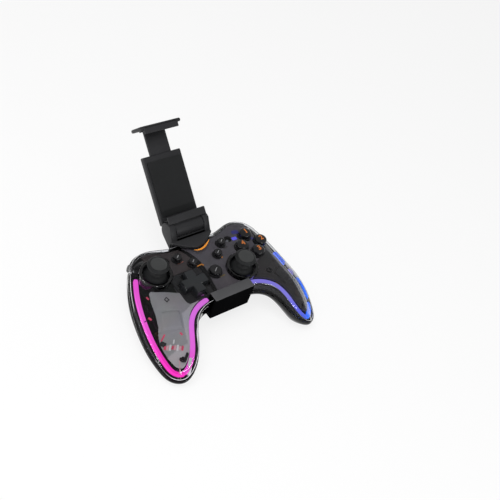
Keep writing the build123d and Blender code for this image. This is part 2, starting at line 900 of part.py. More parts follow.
def clip_base():
    """Strap round the front, belly and back of the pad, with a tongue on the face and a hinge fork."""
    stations = [clip_front + (clip_back - clip_front) * step / clip_steps for step in range(clip_steps + 1)]
    inner = [(clip_front + clip_lip, clip_gap), (clip_front, clip_gap)]
    inner += [under_belly(y, clip_room) for y in stations]
    inner.append((clip_back, clip_gap))
    back_edge = clip_back + clip_wall
    outer = [(back_edge, clip_gap), (back_edge, -rest_depth), (clip_foot_y, -rest_depth)]
    outer += [under_belly(y, clip_room + clip_wall) for y in reversed(stations) if y < clip_foot_y - 4]
    outer[-1] = (clip_front - clip_wall, outer[-1][1])
    outer += [(clip_front - clip_wall, clip_top), (clip_front + clip_lip, clip_top)]
    strap = side_extrusion(inner + outer, -clip_half_width, clip_half_width)
    front_edges = strap.edges().filter_by(Axis.X).sort_by(Axis.Y)[:2]
    strap = fillet(front_edges, 1.8)
    corner = (clip_half_width, tongue_side_y)
    arc = ThreePointArc((-clip_half_width, tongue_side_y), (0, tongue_reach), corner)
    sides = Polyline((clip_half_width, tongue_side_y), (clip_half_width, back_edge),
                     (-clip_half_width, back_edge), (-clip_half_width, tongue_side_y))
    tongue = column(make_face(Wire([arc] + list(sides.edges()))), clip_gap, clip_top)
    piece = strap + tongue
    piece += ear(clip_half_width - ear_width)
    piece += ear(-clip_half_width)
    piece += saddle(back_edge)
    piece -= block(-window_half_width, window_half_width, clip_back - 1, back_edge + 1,
                   window_low, window_high)
    return piece - cross_rod(-clip_half_width - 1, clip_half_width + 1, hinge_y, hinge_z, hinge_pin_radius)


def saddle(back_edge):
    """Gusset behind the strap that fills the gap under the cradle's barrel."""
    end = back_edge + saddle_reach
    profile = [(clip_back, clip_top), (end, clip_top), (end, -saddle_edge), (back_edge, window_high),
               (clip_back, window_high)]
    half = clip_half_width - ear_width / 2
    gusset = side_extrusion(profile, -half, half)
    return gusset - cross_rod(-half - 1, half + 1, hinge_y, hinge_z, barrel_radius + barrel_gap)


def ear(x0):
    """Ear of the hinge fork, rounded about the pin."""
    low = -7.0
    disc = Pos(hinge_y, hinge_z) * Circle(ear_radius)
    base = Pos(clip_back, low) * Rectangle(clip_wall, clip_top - low, align=(Align.MIN, Align.MIN))
    shape = Plane.YZ * make_hull(disc.edges() + base.edges())
    return Pos(x0, 0, 0) * extrude(shape, ear_width, dir=(1, 0, 0))


def clip_pads():
    """Thin rubber linings where the clip meets the pad."""
    width = clip_half_width - 3
    pad_low = 0.4 * clip_gap
    top_pad = block(-width, width, clip_front + 1.0, clip_front + clip_lip - 0.5, pad_low, clip_gap)
    back_pad = block(-width + 3, width - 3, tongue_side_y - 5, back_y - 2, pad_low, clip_gap)
    return Compound(children=[top_pad, back_pad])


def hinge_pin():
    half = clip_half_width - 0.2
    return cross_rod(-half, half, hinge_y, hinge_z, hinge_pin_radius - fit_gap)


# Phone cradle, drawn lying flat and then leant back: X across, Y along the phone, Z out of its screen
def lean_back(solid):
    y, z = phone_edge
    return Pos(0, y, z) * Rot(lean, 0, 0) * solid


def along_phone(y, z):
    """Place of a point of the pad's side view in the cradle's own flat coordinates."""
    dy, dz = y - phone_edge[0], z - phone_edge[1]
    turn = radians(lean)
    return dy * cos(turn) + dz * sin(turn), -dy * sin(turn) + dz * cos(turn)


plate_front = -phone_thickness - jaw_pad
plate_back = plate_front - cradle_plate
barrel_half = clip_half_width - ear_width - 0.3


def phone_cradle():
    u, n = along_phone(hinge_y, hinge_z)
    w = cradle_half_width
    plate = block(-w, w, -jaw_pad - jaw_thickness, cradle_end, plate_back, plate_front)
    plate = fillet(plate.edges().filter_by(Axis.Z).sort_by(Axis.Y)[-2:], 4.0)
    shelf = block(-w, w, -jaw_pad - jaw_thickness, -jaw_pad, plate_back, clip_gap + lip_thickness)
    lip = block(-w, w, -jaw_pad - jaw_thickness, lip_reach, clip_gap, clip_gap + lip_thickness)
    lip = fillet(lip.edges().filter_by(Axis.Z).sort_by(Axis.Y)[-2:], 1.8)
    barrel = cross_rod(-barrel_half, barrel_half, u, n, barrel_radius)
    web_top = -jaw_pad - jaw_thickness + 0.5
    web = block(-barrel_half, barrel_half, u, web_top, n - barrel_radius, n + 0.75 * barrel_radius)
    cradle = plate + shelf + lip
    for side in (-1, 1):
        low_x, high_x = sorted((side * barrel_half, side * (clip_half_width + 1)))
        cradle -= cross_rod(low_x, high_x, u, n, ear_radius + slip_gap)
    cradle = cradle + barrel + web
    channel_low = plate_back + (cradle_plate - slider_thickness) / 2 - 0.1
    channel_high = channel_low + slider_thickness + 0.2
    room = slider_half_width + 0.2
    cradle -= block(-room, room, channel_start, cradle_end + 5, channel_low, channel_high)
    cradle -= cross_rod(-w - 1, w + 1, u, n, hinge_pin_radius)
    return lean_back(cradle)


def cradle_pad():
    w = cradle_half_width - 2
    back_pad = block(-w, w, 3, cradle_end - 5, plate_front, plate_front + jaw_pad)
    edge_pad = block(-w, w, -jaw_pad, 0, plate_front + 0.5, -0.3)
    return lean_back(Compound(children=[back_pad, edge_pad]))


def upper_jaw():
    w = clip_half_width
    low = phone_gap + jaw_pad
    high = low + jaw_thickness
    arm = block(-w, w, low, high, plate_back, clip_gap + lip_thickness)
    arm = fillet(arm.edges().filter_by(Axis.Z), 1.2)
    lip = block(-w + 3, w - 3, phone_gap - lip_reach, high, clip_gap, clip_gap + lip_thickness)
    lip = fillet(lip.edges().filter_by(Axis.Z).sort_by(Axis.Y)[:2], 1.8)
    slide_low = plate_back + (cradle_plate - slider_thickness) / 2
    bar = block(-slider_half_width, slider_half_width, slider_start, low + 0.5,
                slide_low, slide_low + slider_thickness)
    return lean_back(arm + lip + bar)


def upper_jaw_pad():
    w = clip_half_width - 4
    return lean_back(block(-w, w, phone_gap, phone_gap + jaw_pad, plate_front + 1, -0.3))


def pair(maker, first, second):
    """Two like pieces, one for each side, in one node."""
    return Compound(children=[maker(first), maker(second)])


def all_parts():
    parts = {
        "front_shell": front_shell(),
        "rear_shell": rear_shell(),
        "shell_screws": shell_screws(),
        "face_panel_left": face_panel_left(),
        "face_panel_right": face_panel_right(),
        "dpad_bezel": dpad_bezel(),
        "centre_band": centre_band(),
        "main_board": main_board(),
        "battery": battery(),
        "usb_c_socket": usb_c_socket(),
        "face_membrane": face_membrane(),
        "centre_membrane": centre_membrane(),
        "dpad_membrane": dpad_membrane(),
        "dpad_support": dpad_support(),
        "dpad_rocker": dpad_rocker(),
        "dpad": dpad(),
        "home_button": push_button(*home_place, home_radius, home_height, 0.5),
        "clip_base": clip_base(),
        "clip_pads": clip_pads(),
        "hinge_pin": hinge_pin(),
        "phone_cradle": phone_cradle(),
        "cradle_pad": cradle_pad(),
        "upper_jaw": upper_jaw(),
        "upper_jaw_pad": upper_jaw_pad(),
        "led_strips": pair(led_strip, -1, 1),
        "rumble_motors": pair(rumble_motor, -1, 1),
        "motor_cradles": pair(motor_cradle, -1, 1),
        "trigger_pins": pair(trigger_pin, -1, 1),
        "stick_housings": pair(stick_housing, left_stick, right_stick),
    }
    for name, (x, y) in face_button_places().items():
        parts["face_button_" + name] = push_button(x, y, face_button_radius, face_button_height, 1.6)
    for name, (x, y) in small_button_places().items():
        parts[name + "_button"] = push_button(x, y, small_button_radius, small_button_height, 0.8)
    for word, side, place in (("left", -1, left_stick), ("right", 1, right_stick)):
        parts["grip_liner_" + word] = grip_liner(side)
        parts["light_guide_" + word] = light_guide(side)
        parts["rumble_weight_" + word] = rumble_weight(side)
        parts["trigger_bracket_" + word] = trigger_bracket(side)
        parts["bumper_" + word] = bumper(side)
        parts["trigger_" + word] = trigger(side)
        parts["stick_ring_" + word] = stick_ring(place)
        parts["stick_yoke_" + word] = stick_yoke(place)
        parts["pivot_block_" + word] = pivot_block(place)
        parts["stick_shaft_" + word] = stick_shaft(place)
        parts["thumbstick_" + word] = thumbstick(place)
    return parts


def table_shift(parts):
    """Move that puts the lowest point on the table and the middle of the length over the origin."""
    solids = [solid for part in parts.values() for solid in part.solids()]
    box = Compound(children=solids).bounding_box()
    return (0, -(box.min.Y + box.max.Y) / 2, -box.min.Z)


PARTS = all_parts()
SHIFT = table_shift(PARTS)
os.makedirs("parts", exist_ok=True)
for node, shape in PARTS.items():
    export_step(Pos(*SHIFT) * Compound(children=list(shape.solids())), "parts/" + node + ".step")
print(len(PARTS), "nodes, shift", [round(v, 3) for v in SHIFT])
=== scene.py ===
"""Looks of the wireless gamepad with a phone clip: clear casing, glowing guides, sticks, buttons and clip."""
import math

import bmesh
import bpy
import numpy as np
from mathutils import Matrix, Vector
from mathutils.geometry import delaunay_2d_cdt


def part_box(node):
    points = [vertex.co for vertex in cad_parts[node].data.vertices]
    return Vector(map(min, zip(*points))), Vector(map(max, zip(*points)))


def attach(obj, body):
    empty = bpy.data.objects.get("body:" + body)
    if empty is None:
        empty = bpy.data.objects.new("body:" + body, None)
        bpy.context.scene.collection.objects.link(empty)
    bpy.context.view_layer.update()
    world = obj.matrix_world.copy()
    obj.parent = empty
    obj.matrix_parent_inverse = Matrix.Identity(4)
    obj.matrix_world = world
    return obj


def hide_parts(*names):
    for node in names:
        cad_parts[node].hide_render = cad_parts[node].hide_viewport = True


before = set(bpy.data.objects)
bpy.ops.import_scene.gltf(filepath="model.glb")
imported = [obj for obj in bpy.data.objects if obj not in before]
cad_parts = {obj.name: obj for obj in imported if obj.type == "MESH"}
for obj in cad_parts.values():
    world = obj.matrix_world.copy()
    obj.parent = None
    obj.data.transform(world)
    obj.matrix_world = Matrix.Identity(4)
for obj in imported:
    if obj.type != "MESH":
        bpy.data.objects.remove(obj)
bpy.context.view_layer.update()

# Face coordinates in millimetres: X right, Y away from the player, zero height on the flat face
MM = 1000.0
HINGE = (41.0, 5.0)
pin_low, pin_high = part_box("hinge_pin")
SHIFT_Y = MM / 2 * (pin_low.y + pin_high.y) - HINGE[0]
SHIFT_Z = MM / 2 * (pin_low.z + pin_high.z) - HINGE[1]


def row(point):
    """A face-coordinate point in metres of the row frame."""
    return Vector((point[0] / MM, (point[1] + SHIFT_Y) / MM, (point[2] + SHIFT_Z) / MM))


def link(data, name):
    """Object of a mesh, curve, camera or lamp, placed in the scene."""
    thing = bpy.data.objects.new(name, data)
    bpy.context.scene.collection.objects.link(thing)
    return thing


def settle(thing, **values):
    """Sets attributes of a thing by name."""
    for name, value in values.items():
        setattr(thing, name, value)
    return thing


# Camera
VIEW_RIGHT = Vector((0.7817, -0.5687, 0.2560))
VIEW_UP = Vector((0.2988, 0.7018, 0.6467))
VIEW_PLACE = (-322.93, -283.01, 475.57)


def set_camera():
    data = settle(bpy.data.cameras.new("camera"), sensor_width=36.0, lens=57.61, clip_start=0.01)
    camera = link(data, "camera")
    back = VIEW_RIGHT.cross(VIEW_UP).normalized()
    up = back.cross(VIEW_RIGHT).normalized()
    turn = Matrix((VIEW_RIGHT.normalized(), up, back)).transposed().to_4x4()
    turn.translation = row(VIEW_PLACE)
    camera.matrix_world = turn
    bpy.context.scene.camera = camera


set_camera()

# Casing shape: the right half of the rim in plan, from the back round the grip to the front
RIM_POINTS = [
    (0, 31), (9.5, 31), (20, 31), (30.96, 34), (43, 37), (54.5, 33), (63.5, 21.5), (70.7, 5), (76, -17),
    (78, -37.5), (76.2, -52), (71.5, -63), (62, -68.5), (53, -65.3), (46.6, -58), (42, -48), (36.5, -38),
    (28, -32), (20, -30), (9.5, -30), (0, -30),
]
RIM_SAMPLES = 170
SPAN_STEPS = 40
WALL = 1.6


def smooth_curve(points, start, end, count):
    """Even samples of the smooth curve through points with given end directions."""
    p = np.array(points, float)
    h = np.hypot(*np.diff(p, axis=0).T)
    n = len(p)
    a = np.zeros((n, n))
    b = np.zeros((n, 2))
    a[0, 0] = a[-1, -1] = 1
    b[0], b[-1] = start, end
    for i in range(1, n - 1):
        a[i, i - 1] = 1 / h[i - 1]
        a[i, i] = 2 * (1 / h[i - 1] + 1 / h[i])
        a[i, i + 1] = 1 / h[i]
        b[i] = 3 * ((p[i + 1] - p[i]) / h[i] ** 2 + (p[i] - p[i - 1]) / h[i - 1] ** 2)
    m = np.linalg.solve(a, b)
    t = np.linspace(0, 1, SPAN_STEPS, endpoint=False)[:, None]
    dense = []
    for i in range(n - 1):
        c = (2 * t**3 - 3 * t**2 + 1) * p[i] + (t**3 - 2 * t**2 + t) * h[i] * m[i]
        c += (-2 * t**3 + 3 * t**2) * p[i + 1] + (t**3 - t**2) * h[i] * m[i + 1]
        dense.append(c)
    dense = np.vstack(dense + [p[-1:]])
    run = np.concatenate([[0], np.cumsum(np.hypot(*np.diff(dense, axis=0).T))])
    want = np.linspace(0, run[-1], count)
    return np.column_stack([np.interp(want, run, dense[:, k]) for k in range(2)])


def inwards(loop):
    """Unit normals of a clockwise closed loop, pointing inside."""
    along = np.roll(loop, -1, axis=0) - np.roll(loop, 1, axis=0)
    along /= np.hypot(*along.T)[:, None]
    return np.column_stack([along[:, 1], -along[:, 0]])


RIGHT_RIM = smooth_curve(RIM_POINTS, (1, 0), (-1, 0), RIM_SAMPLES)
RIM = np.vstack([RIGHT_RIM, (RIGHT_RIM * (-1, 1))[-2:0:-1]])
RIM_IN = inwards(RIM)
RIGHT_IN = RIM_IN[:RIM_SAMPLES]


def rim_loop(inset):
    return RIM + RIM_IN * inset


def inside(points, loop):
    """True for the plan points within a closed loop."""
    p = np.atleast_2d(points)
    x, y = p[:, 0][:, None], p[:, 1][:, None]
    (ax, ay), (bx, by) = loop.T, np.roll(loop, -1, axis=0).T
    crosses = (ay > y) != (by > y)
    rise = np.where(by == ay, 1e-9, by - ay)
    return ((crosses & (x < ax + (y - ay) * (bx - ax) / rise)).sum(1) % 2) == 1


def depth_inside(points, loop, batch=800):
    """Distance of plan points from the sides of a closed loop, positive inside."""
    p = np.atleast_2d(np.array(points, float))
    gap = np.empty(len(p))
    side = np.roll(loop, -1, axis=0) - loop
    for s in range(0, len(p), batch):
        q = p[s:s + batch, None, :]
        t = np.clip(((q - loop) * side).sum(2) / (side**2).sum(1), 0, 1)
        near = loop + side * t[..., None]
        gap[s:s + batch] = np.sqrt(((q - near) ** 2).sum(2)).min(1)
    return np.where(inside(p, loop), gap, -gap)


def corner_gap(points, loop):
    """Distance of plan points from the nearest corner of a loop."""
    return np.sqrt(((points[:, None, :] - loop[None]) ** 2).sum(2)).min(1)


SOFTNESS = 4.0


def ramp(value):
    """Zero below zero, the value itself well above it, and a smooth turn between."""
    return SOFTNESS * np.logaddexp(0, np.asarray(value, float) / SOFTNESS)


def step_up(value):
    """Smooth step from 0 to 1."""
    return 1 / (1 + np.exp(-np.clip(value, -60, 60)))


# Where the face starts to bend down, and how fast: at the sides, at the front and at the back
SIDE_BEND = (46, 0.0195)
FRONT_BEND = (25, 0.012)
BACK_BEND = (24, 0.018)

# Underside: depth of the middle, of the battery's hump and of the ridge along each grip
MIDDLE_DEPTH = 16.5
HUMP_DEPTH = 15.5
RIDGE_DEPTH = 38.9
RIDGE_REACH = 14.0
REST_DEPTH = 38.0
RIDGE_START = np.array((56.0, -6.0))
RIDGE_RUN = np.array((61.0, -52.5)) - RIDGE_START

# Where the casings meet, and how far their rounded rims reach in and drop; the back rim drops less
PARTING_MIDDLE, PARTING_SHARE = -12, 0.62
TOP_REACH, TOP_DROP = 5.0, 4.4
BACK_START, BACK_DROP = 22, 3.2
UNDER_REACH, UNDER_DROP = 5.5, 7.5


def face_height(x, y):
    """Height of the face, flat in the middle."""
    x, y = np.abs(x), np.asarray(y, float)
    bends = [(x, *SIDE_BEND), (-y, *FRONT_BEND), (y, *BACK_BEND)]
    return sum(-rate * ramp(value - start) ** 2 for value, start, rate in bends)


def belly_height(x, y):
    """Height of the underside, cut off at the plane it rests on."""
    x, y = np.abs(x), np.asarray(y, float)
    dx, dy = x - RIDGE_START[0], y - RIDGE_START[1]
    share = np.clip((dx * RIDGE_RUN[0] + dy * RIDGE_RUN[1]) / (RIDGE_RUN**2).sum(), 0, 1)
    off = np.hypot(dx - share * RIDGE_RUN[0], dy - share * RIDGE_RUN[1])
    hump = HUMP_DEPTH * step_up((y + 6) / 7.0) * step_up((42 - x) / 6.0)
    shallow = MIDDLE_DEPTH + hump - 0.6 * face_height(x, y)
    deep = shallow + (RIDGE_DEPTH - shallow) * np.exp(-((off / RIDGE_REACH) ** 2))
    return -np.minimum(deep, REST_DEPTH)


def parting_height(x, y):
    """Height where the clear and the rear casing meet."""
    return PARTING_MIDDLE + PARTING_SHARE * face_height(x, y)


def rounded_off(distance, reach, fall):
    """Drop of a rounded rim at a distance from the edge."""
    share = np.clip(1 - np.asarray(distance) / reach, 0, 1)
    return fall * (1 - np.sqrt(np.maximum(1 - share**2, 0)))


def top_height(x, y, distance):
    """Outer height of the clear casing, with its rounded rim."""
    face = face_height(x, y)
    fall = np.minimum(0.93 * (face - parting_height(x, y)), TOP_DROP)
    fall = np.where(np.asarray(y) > BACK_START, np.minimum(fall, BACK_DROP), fall)
    return face - rounded_off(distance, TOP_REACH, fall)


def under_height(x, y, distance):
    """Outer height of the rear casing, with its rounded rim."""
    belly = belly_height(x, y)
    fall = np.minimum(0.8 * (parting_height(x, y) - belly), UNDER_DROP)
    return belly + rounded_off(distance, UNDER_REACH, fall)


# Mesh making
def from_lists(name, verts, faces, smooth=True):
    """Object from face-coordinate vertices in millimetres, with merged points and even normals."""
    mesh = bpy.data.meshes.new(name)
    mesh.from_pydata([row(v) for v in verts], [], faces)
    mesh.validate()
    shape = bmesh.new()
    shape.from_mesh(mesh)
    bmesh.ops.remove_doubles(shape, verts=shape.verts, dist=1e-6)
    bmesh.ops.recalc_face_normals(shape, faces=shape.faces)
    for face in shape.faces:
        face.smooth = smooth
    shape.to_mesh(mesh)
    shape.free()
    return link(mesh, name)


def freeze(thing):
    """Applies the modifiers."""
    bpy.context.view_layer.update()
    graph = bpy.context.evaluated_depsgraph_get()
    mesh = bpy.data.meshes.new_from_object(thing.evaluated_get(graph))
    old = thing.data
    thing.modifiers.clear()
    thing.data = mesh
    mesh.name = thing.name
    bpy.data.meshes.remove(old)
    return thing


def sharpen(thing, angle):
    """Smooth shading with creases above an angle in degrees."""
    shape = bmesh.new()
    shape.from_mesh(thing.data)
    limit = math.radians(angle)
    for face in shape.faces:
        face.smooth = True
    for edge in shape.edges:
        edge.smooth = len(edge.link_faces) == 2 and edge.calc_face_angle(0) < limit
    shape.to_mesh(thing.data)
    shape.free()
    return thing


def bevelled(thing, width, segments=3, angle=30):
    """Rounds the edges of a piece; width in millimetres."""
    settle(thing.modifiers.new("round", "BEVEL"), width=width / MM, segments=segments,
           limit_method="ANGLE", angle_limit=math.radians(angle))
    return sharpen(freeze(thing), 40)


def cut(thing, *cutters):
    """Subtracts closed pieces, which are then removed."""
    for cutter in cutters:
        settle(thing.modifiers.new("cut", "BOOLEAN"), operation="DIFFERENCE", solver="EXACT", object=cutter)
    freeze(thing)
    for cutter in cutters:
        bpy.data.objects.remove(cutter)
    return thing


def joined(name, pieces):
    """One object from several."""
    shape = bmesh.new()
    for piece in pieces:
        shape.from_mesh(piece.data)
        bpy.data.objects.remove(piece)
    mesh = bpy.data.meshes.new(name)
    shape.to_mesh(mesh)
    shape.free()
    return link(mesh, name)


def bands(pairs, n):
    """Faces between pairs of closed rings, where the points are numbered ring by ring."""
    return [(a * n + k, a * n + (k + 1) % n, b * n + (k + 1) % n, b * n + k)
            for a, b in pairs for k in range(n)]


def in_turn(count):
    """Pairs of neighbours among so many rings."""
    return [(i, i + 1) for i in range(count - 1)]


def pushed(name, start, end):
    """Closed prism between two equal loops."""
    n = len(start)
    faces = [list(range(n)), list(range(n, 2 * n))] + bands([(0, 1)], n)
    return from_lists(name, start + end, faces, smooth=False)


def prism(name, loop, low, high):
    """Closed prism of a plan loop between two heights."""
    return pushed(name, [(x, y, low) for x, y in loop], [(x, y, high) for x, y in loop])


def across(name, profile, x0, x1):
    """Closed prism of a (y, z) profile pushed along X."""
    return pushed(name, [(x0, y, z) for y, z in profile], [(x1, y, z) for y, z in profile])


def lathe(name, profile, x, y, around=64, bumps=None):
    """Turned piece about an upright axis; the profile is (radius, height) from axis to axis."""
    verts = []
    for r, z in profile:
        for k in range(around):
            angle = 2 * math.pi * k / around
            radius = r + (bumps(k, r, z) if bumps else 0)
            verts.append((x + radius * math.cos(angle), y + radius * math.sin(angle), z))
    return from_lists(name, verts, bands(in_turn(len(profile)), around))


def arc(cx, cy, radius, start, end, count=10):
    """Points on a circle between two angles in degrees."""
    return [(cx + radius * math.cos(math.radians(a)), cy + radius * math.sin(math.radians(a)))
            for a in np.linspace(start, end, count)]


def circle(x, y, radius, count=48):
    """Clockwise loop."""
    return np.array(arc(x, y, radius, 0, 360 / count - 360, count))


def rounded_box(x, y, half_x, half_y, corner, count=6):
    """Clockwise loop of a rounded rectangle."""
    points = []
    for sx, sy, start in ((1, 1, 90), (1, -1, 0), (-1, -1, -90), (-1, 1, -180)):
        cx, cy = x + sx * (half_x - corner), y + sy * (half_y - corner)
        points += arc(cx, cy, corner, start, start - 90, count)
    return np.array(points)


def spread(boundary, rings, holes, pitch, margin):
    """Triangles over a plan: boundary loop, rings that only guide the mesh, holes, and a grid between."""
    loops = [boundary] + list(rings) + list(holes)

    def in_plan(points):
        good = inside(points, boundary)
        for hole in holes:
            good &= ~inside(points, hole)
        return good

    low, high = boundary.min(0), boundary.max(0)
    xs = np.arange(low[0], high[0], pitch)
    grid = np.vstack([np.column_stack([xs + (0.5 * pitch if k % 2 else 0), np.full(len(xs), y)])
                      for k, y in enumerate(np.arange(low[1], high[1], pitch))])
    free = in_plan(grid)
    for loop in loops:
        free &= corner_gap(grid, loop) > margin
    verts, edges = [], []
    for loop in loops:
        n0, n = len(verts), len(loop)
        verts += [Vector((float(x), float(y))) for x, y in loop]
        edges += [(n0 + i, n0 + (i + 1) % n) for i in range(n)]
    verts += [Vector((float(x), float(y))) for x, y in grid[free]]
    out, _, faces, origin, _, _ = delaunay_2d_cdt(verts, edges, [], 0, 1e-6)
    plan = np.array([(v.x, v.y) for v in out])
    faces = np.array([list(f) for f in faces if len(f) == 3])
    faces = [tuple(int(i) for i in f) for f in faces[in_plan(plan[faces].mean(1))]]
    where = {old: new for new, olds in enumerate(origin) for old in olds}
    return plan, faces, [where[i] for i in range(len(boundary))]


def lifted(plan, heights):
    return [(x, y, z) for (x, y), z in zip(plan, heights)]


RIM_RINGS = (0.12, 0.45, 1.0, 1.8, 2.8, 4.0, 5.4)
WALL_ROWS = 4


def shell_sheet(name, holes, height, edge_height, pitch=2.6):
    """Open sheet over the whole plan that turns down or up into a side wall at the rim."""
    plan, faces, first = spread(rim_loop(0), [rim_loop(d) for d in RIM_RINGS], holes, pitch, 1.3)
    distance = np.maximum(depth_inside(plan, RIM), 0)
    distance[first] = 0
    z = height(plan[:, 0], plan[:, 1], distance)
    verts = lifted(plan, z)
    open_edge = np.zeros(len(first), bool)
    for hole in holes:
        open_edge |= inside(plan[first], hole)
    ring, n = list(first), len(first)
    for level in range(1, WALL_ROWS + 1):
        new = [len(verts) + k for k in range(n)]
        for i in first:
            x, y = plan[i]
            verts.append((x, y, z[i] + (edge_height(x, y) - z[i]) * level / WALL_ROWS))
        for k in range(n):
            after = (k + 1) % n
            if not (open_edge[k] or open_edge[after]):
                faces.append((ring[k], ring[after], new[after], new[k]))
        ring = new
    return from_lists(name, verts, faces)


def thicken(thing, thickness, outer_up, exact=True):
    """Gives a sheet its wall, on the inner side of a sheet whose outer side faces up or down."""
    up = sum(face.normal.z * face.area for face in thing.data.polygons)
    settle(thing.modifiers.new("thick", "SOLIDIFY"), thickness=thickness / MM,
           offset=-1 if (up > 0) == outer_up else 1, use_quality_normals=exact)
    return freeze(thing)


def on_face(name, loop, depth, thickness, pitch=2.0, rings=(), holes=(), relief=None):
    """Plate that follows the face at a depth below it, with raised or sunk areas where relief says so."""
    plan, faces, _ = spread(loop, rings, holes, pitch, 0.35 * pitch)
    z = face_height(plan[:, 0], plan[:, 1]) - depth
    if relief:
        z = z + relief(plan)
    plate = from_lists(name, lifted(plan, z), faces)
    return sharpen(thicken(plate, thickness, True, exact=False), 40)


def dress(thing, body, slot, looks, *nodes):
    """Gives a piece its body and materials, and hides the nodes that it stands for; the slot is not used."""
    thing.data.materials.clear()
    for look in looks.split():
        thing.data.materials.append(bpy.data.materials[look])
    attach(thing, body)
    if nodes:
        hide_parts(*nodes)
    return thing


# Materials
def colour(value, factor=1.0):
    """Linear colour of a #rrggbb text, times a factor."""
    parts = [int(value[i:i + 2], 16) / 255 for i in (1, 3, 5)]
    linear = [((c + 0.055) / 1.055) ** 2.4 if c > 0.04045 else c / 12.92 for c in parts]
    return [min(c * factor, 1) for c in linear] + [1]


def put(node, values):
    """Sets the inputs of a node by name."""
    for name, value in values.items():
        node.inputs[name].default_value = value
    return node


def blank(name, values):
    """New material's node tree, and its shader with inputs set by name."""
    material = bpy.data.materials.new(name)
    material.use_nodes = True
    tree = material.node_tree
    return tree, put(tree.nodes["Principled BSDF"], values)


def noise(tree, scale, detail=3.0, output="Fac"):
    """Noise texture in the object's own coordinates."""
    texture = put(tree.nodes.new("ShaderNodeTexNoise"), {"Scale": scale, "Detail": detail, "Roughness": 0.55})
    tree.links.new(tree.nodes.new("ShaderNodeTexCoord").outputs["Object"], texture.inputs["Vector"])
    return texture.outputs[output]


def ramped(tree, source, *stops):
    """Colour ramp from (place, colour) stops."""
    blend = tree.nodes.new("ShaderNodeValToRGB")
    marks = blend.color_ramp.elements
    marks[0].position, marks[0].color = stops[0]
    marks[1].position, marks[1].color = stops[-1]
    for place, tint in stops[1:-1]:
        marks.new(place).color = tint
    tree.links.new(source, blend.inputs["Fac"])
    return blend.outputs["Color"]


def varied(tree, source, low, high, target):
    """Feeds a value between low and high into an input."""
    span = put(tree.nodes.new("ShaderNodeMapRange"), {"To Min": low, "To Max": high})
    tree.links.new(source, span.inputs["Value"])
    tree.links.new(span.outputs["Result"], target)


def mixed(tree, share, first, second):
    """Blend of two shaders that becomes the material's surface."""
    both = tree.nodes.new("ShaderNodeMixShader")
    for place, source in enumerate((share, first, second)):
        tree.links.new(source, both.inputs[place])
    tree.links.new(both.outputs["Shader"], tree.nodes["Material Output"].inputs["Surface"])


def plastic(name, tone, rough=0.4, grain=900.0, depth=0.00004, drift=0.12, coat=0.0, specular=0.5):
    """Moulded plastic: slight colour drift, varied roughness and a fine skin."""
    tree, shader = blank(name, {"Specular IOR Level": specular})
    if coat:
        put(shader, {"Coat Weight": coat, "Coat Roughness": 0.04})
    tint = ramped(tree, noise(tree, 60), (0.3, colour(tone, 1 - drift)), (0.7, colour(tone, 1 + drift)))
    tree.links.new(tint, shader.inputs["Base Color"])
    skin = noise(tree, grain, 2.0)
    varied(tree, skin, rough * 0.85, min(rough * 1.15, 1), shader.inputs["Roughness"])
    bump = put(tree.nodes.new("ShaderNodeBump"), {"Distance": depth, "Strength": 0.6})
    tree.links.new(skin, bump.inputs["Height"])
    tree.links.new(bump.outputs["Normal"], shader.inputs["Normal"])


def clear(name, tint, base=0.014, edge_gloss=0.75):
    """Thin clear plastic: see-through from the front, mirroring where it slants, dark at its very edge."""
    tree, shader = blank(name, {"Base Color": (1, 1, 1, 1), "Metallic": 1.0, "Roughness": 0.03})
    facing = put(tree.nodes.new("ShaderNodeLayerWeight"), {"Blend": 0.5}).outputs["Facing"]
    shade = ramped(tree, facing, (0.0, colour(tint)), (0.74, colour(tint)), (0.84, colour(tint, 0.45)),
                   (0.93, colour(tint, 0.03)))
    drift = settle(tree.nodes.new("ShaderNodeMix"), data_type="RGBA", blend_type="MULTIPLY")
    put(drift, {"Factor": 0.06})
    tree.links.new(shade, drift.inputs[6])
    tree.links.new(noise(tree, 45, output="Color"), drift.inputs[7])
    see = tree.nodes.new("ShaderNodeBsdfTransparent")
    tree.links.new(drift.outputs[2], see.inputs["Color"])
    shares = ((0.0, base), (0.55, base), (0.6, edge_gloss * 0.5), (0.66, base), (0.8, base),
              (0.87, edge_gloss), (0.93, 0.02))
    share = ramped(tree, facing, *[(place, [v, v, v, 1]) for place, v in shares])
    mixed(tree, share, see.outputs["BSDF"], shader.outputs["BSDF"])


def glowing(name, low, high, strength, base, *stops):
    """Milky guide whose light changes colour along Y, between two places in metres."""
    tree, shader = blank(name, {"Emission Strength": strength, "Base Color": colour(base)})
    parts = tree.nodes.new("ShaderNodeSeparateXYZ")
    tree.links.new(tree.nodes.new("ShaderNodeTexCoord").outputs["Object"], parts.inputs["Vector"])
    span = put(tree.nodes.new("ShaderNodeMapRange"), {"From Min": low, "From Max": high})
    tree.links.new(parts.outputs["Y"], span.inputs["Value"])
    glow = ramped(tree, span.outputs["Result"], *[(place, colour(tone)) for place, tone in stops])
    tree.links.new(glow, shader.inputs["Emission Color"])
    varied(tree, noise(tree, 700, 2.0), 0.3, 0.45, shader.inputs["Roughness"])


def painted_glints(name, dark, light, scale):
    """Glossy edge with painted highlights: near-white in some places and dark grey in others."""
    tree, shader = blank(name, {"Roughness": 0.25})
    tint = ramped(tree, noise(tree, scale, 1.0), (0.42, colour(dark)), (0.56, colour(light)))
    tree.links.new(tint, shader.inputs["Base Color"])


def metal(name, tone):
    """Drawn metal with slight colour drift and fine scratches."""
    tree, shader = blank(name, {"Metallic": 1.0})
    tint = ramped(tree, noise(tree, 300), (0.3, colour(tone, 0.85)), (0.7, colour(tone)))
    tree.links.new(tint, shader.inputs["Base Color"])
    varied(tree, noise(tree, 1400), 0.21, 0.39, shader.inputs["Roughness"])


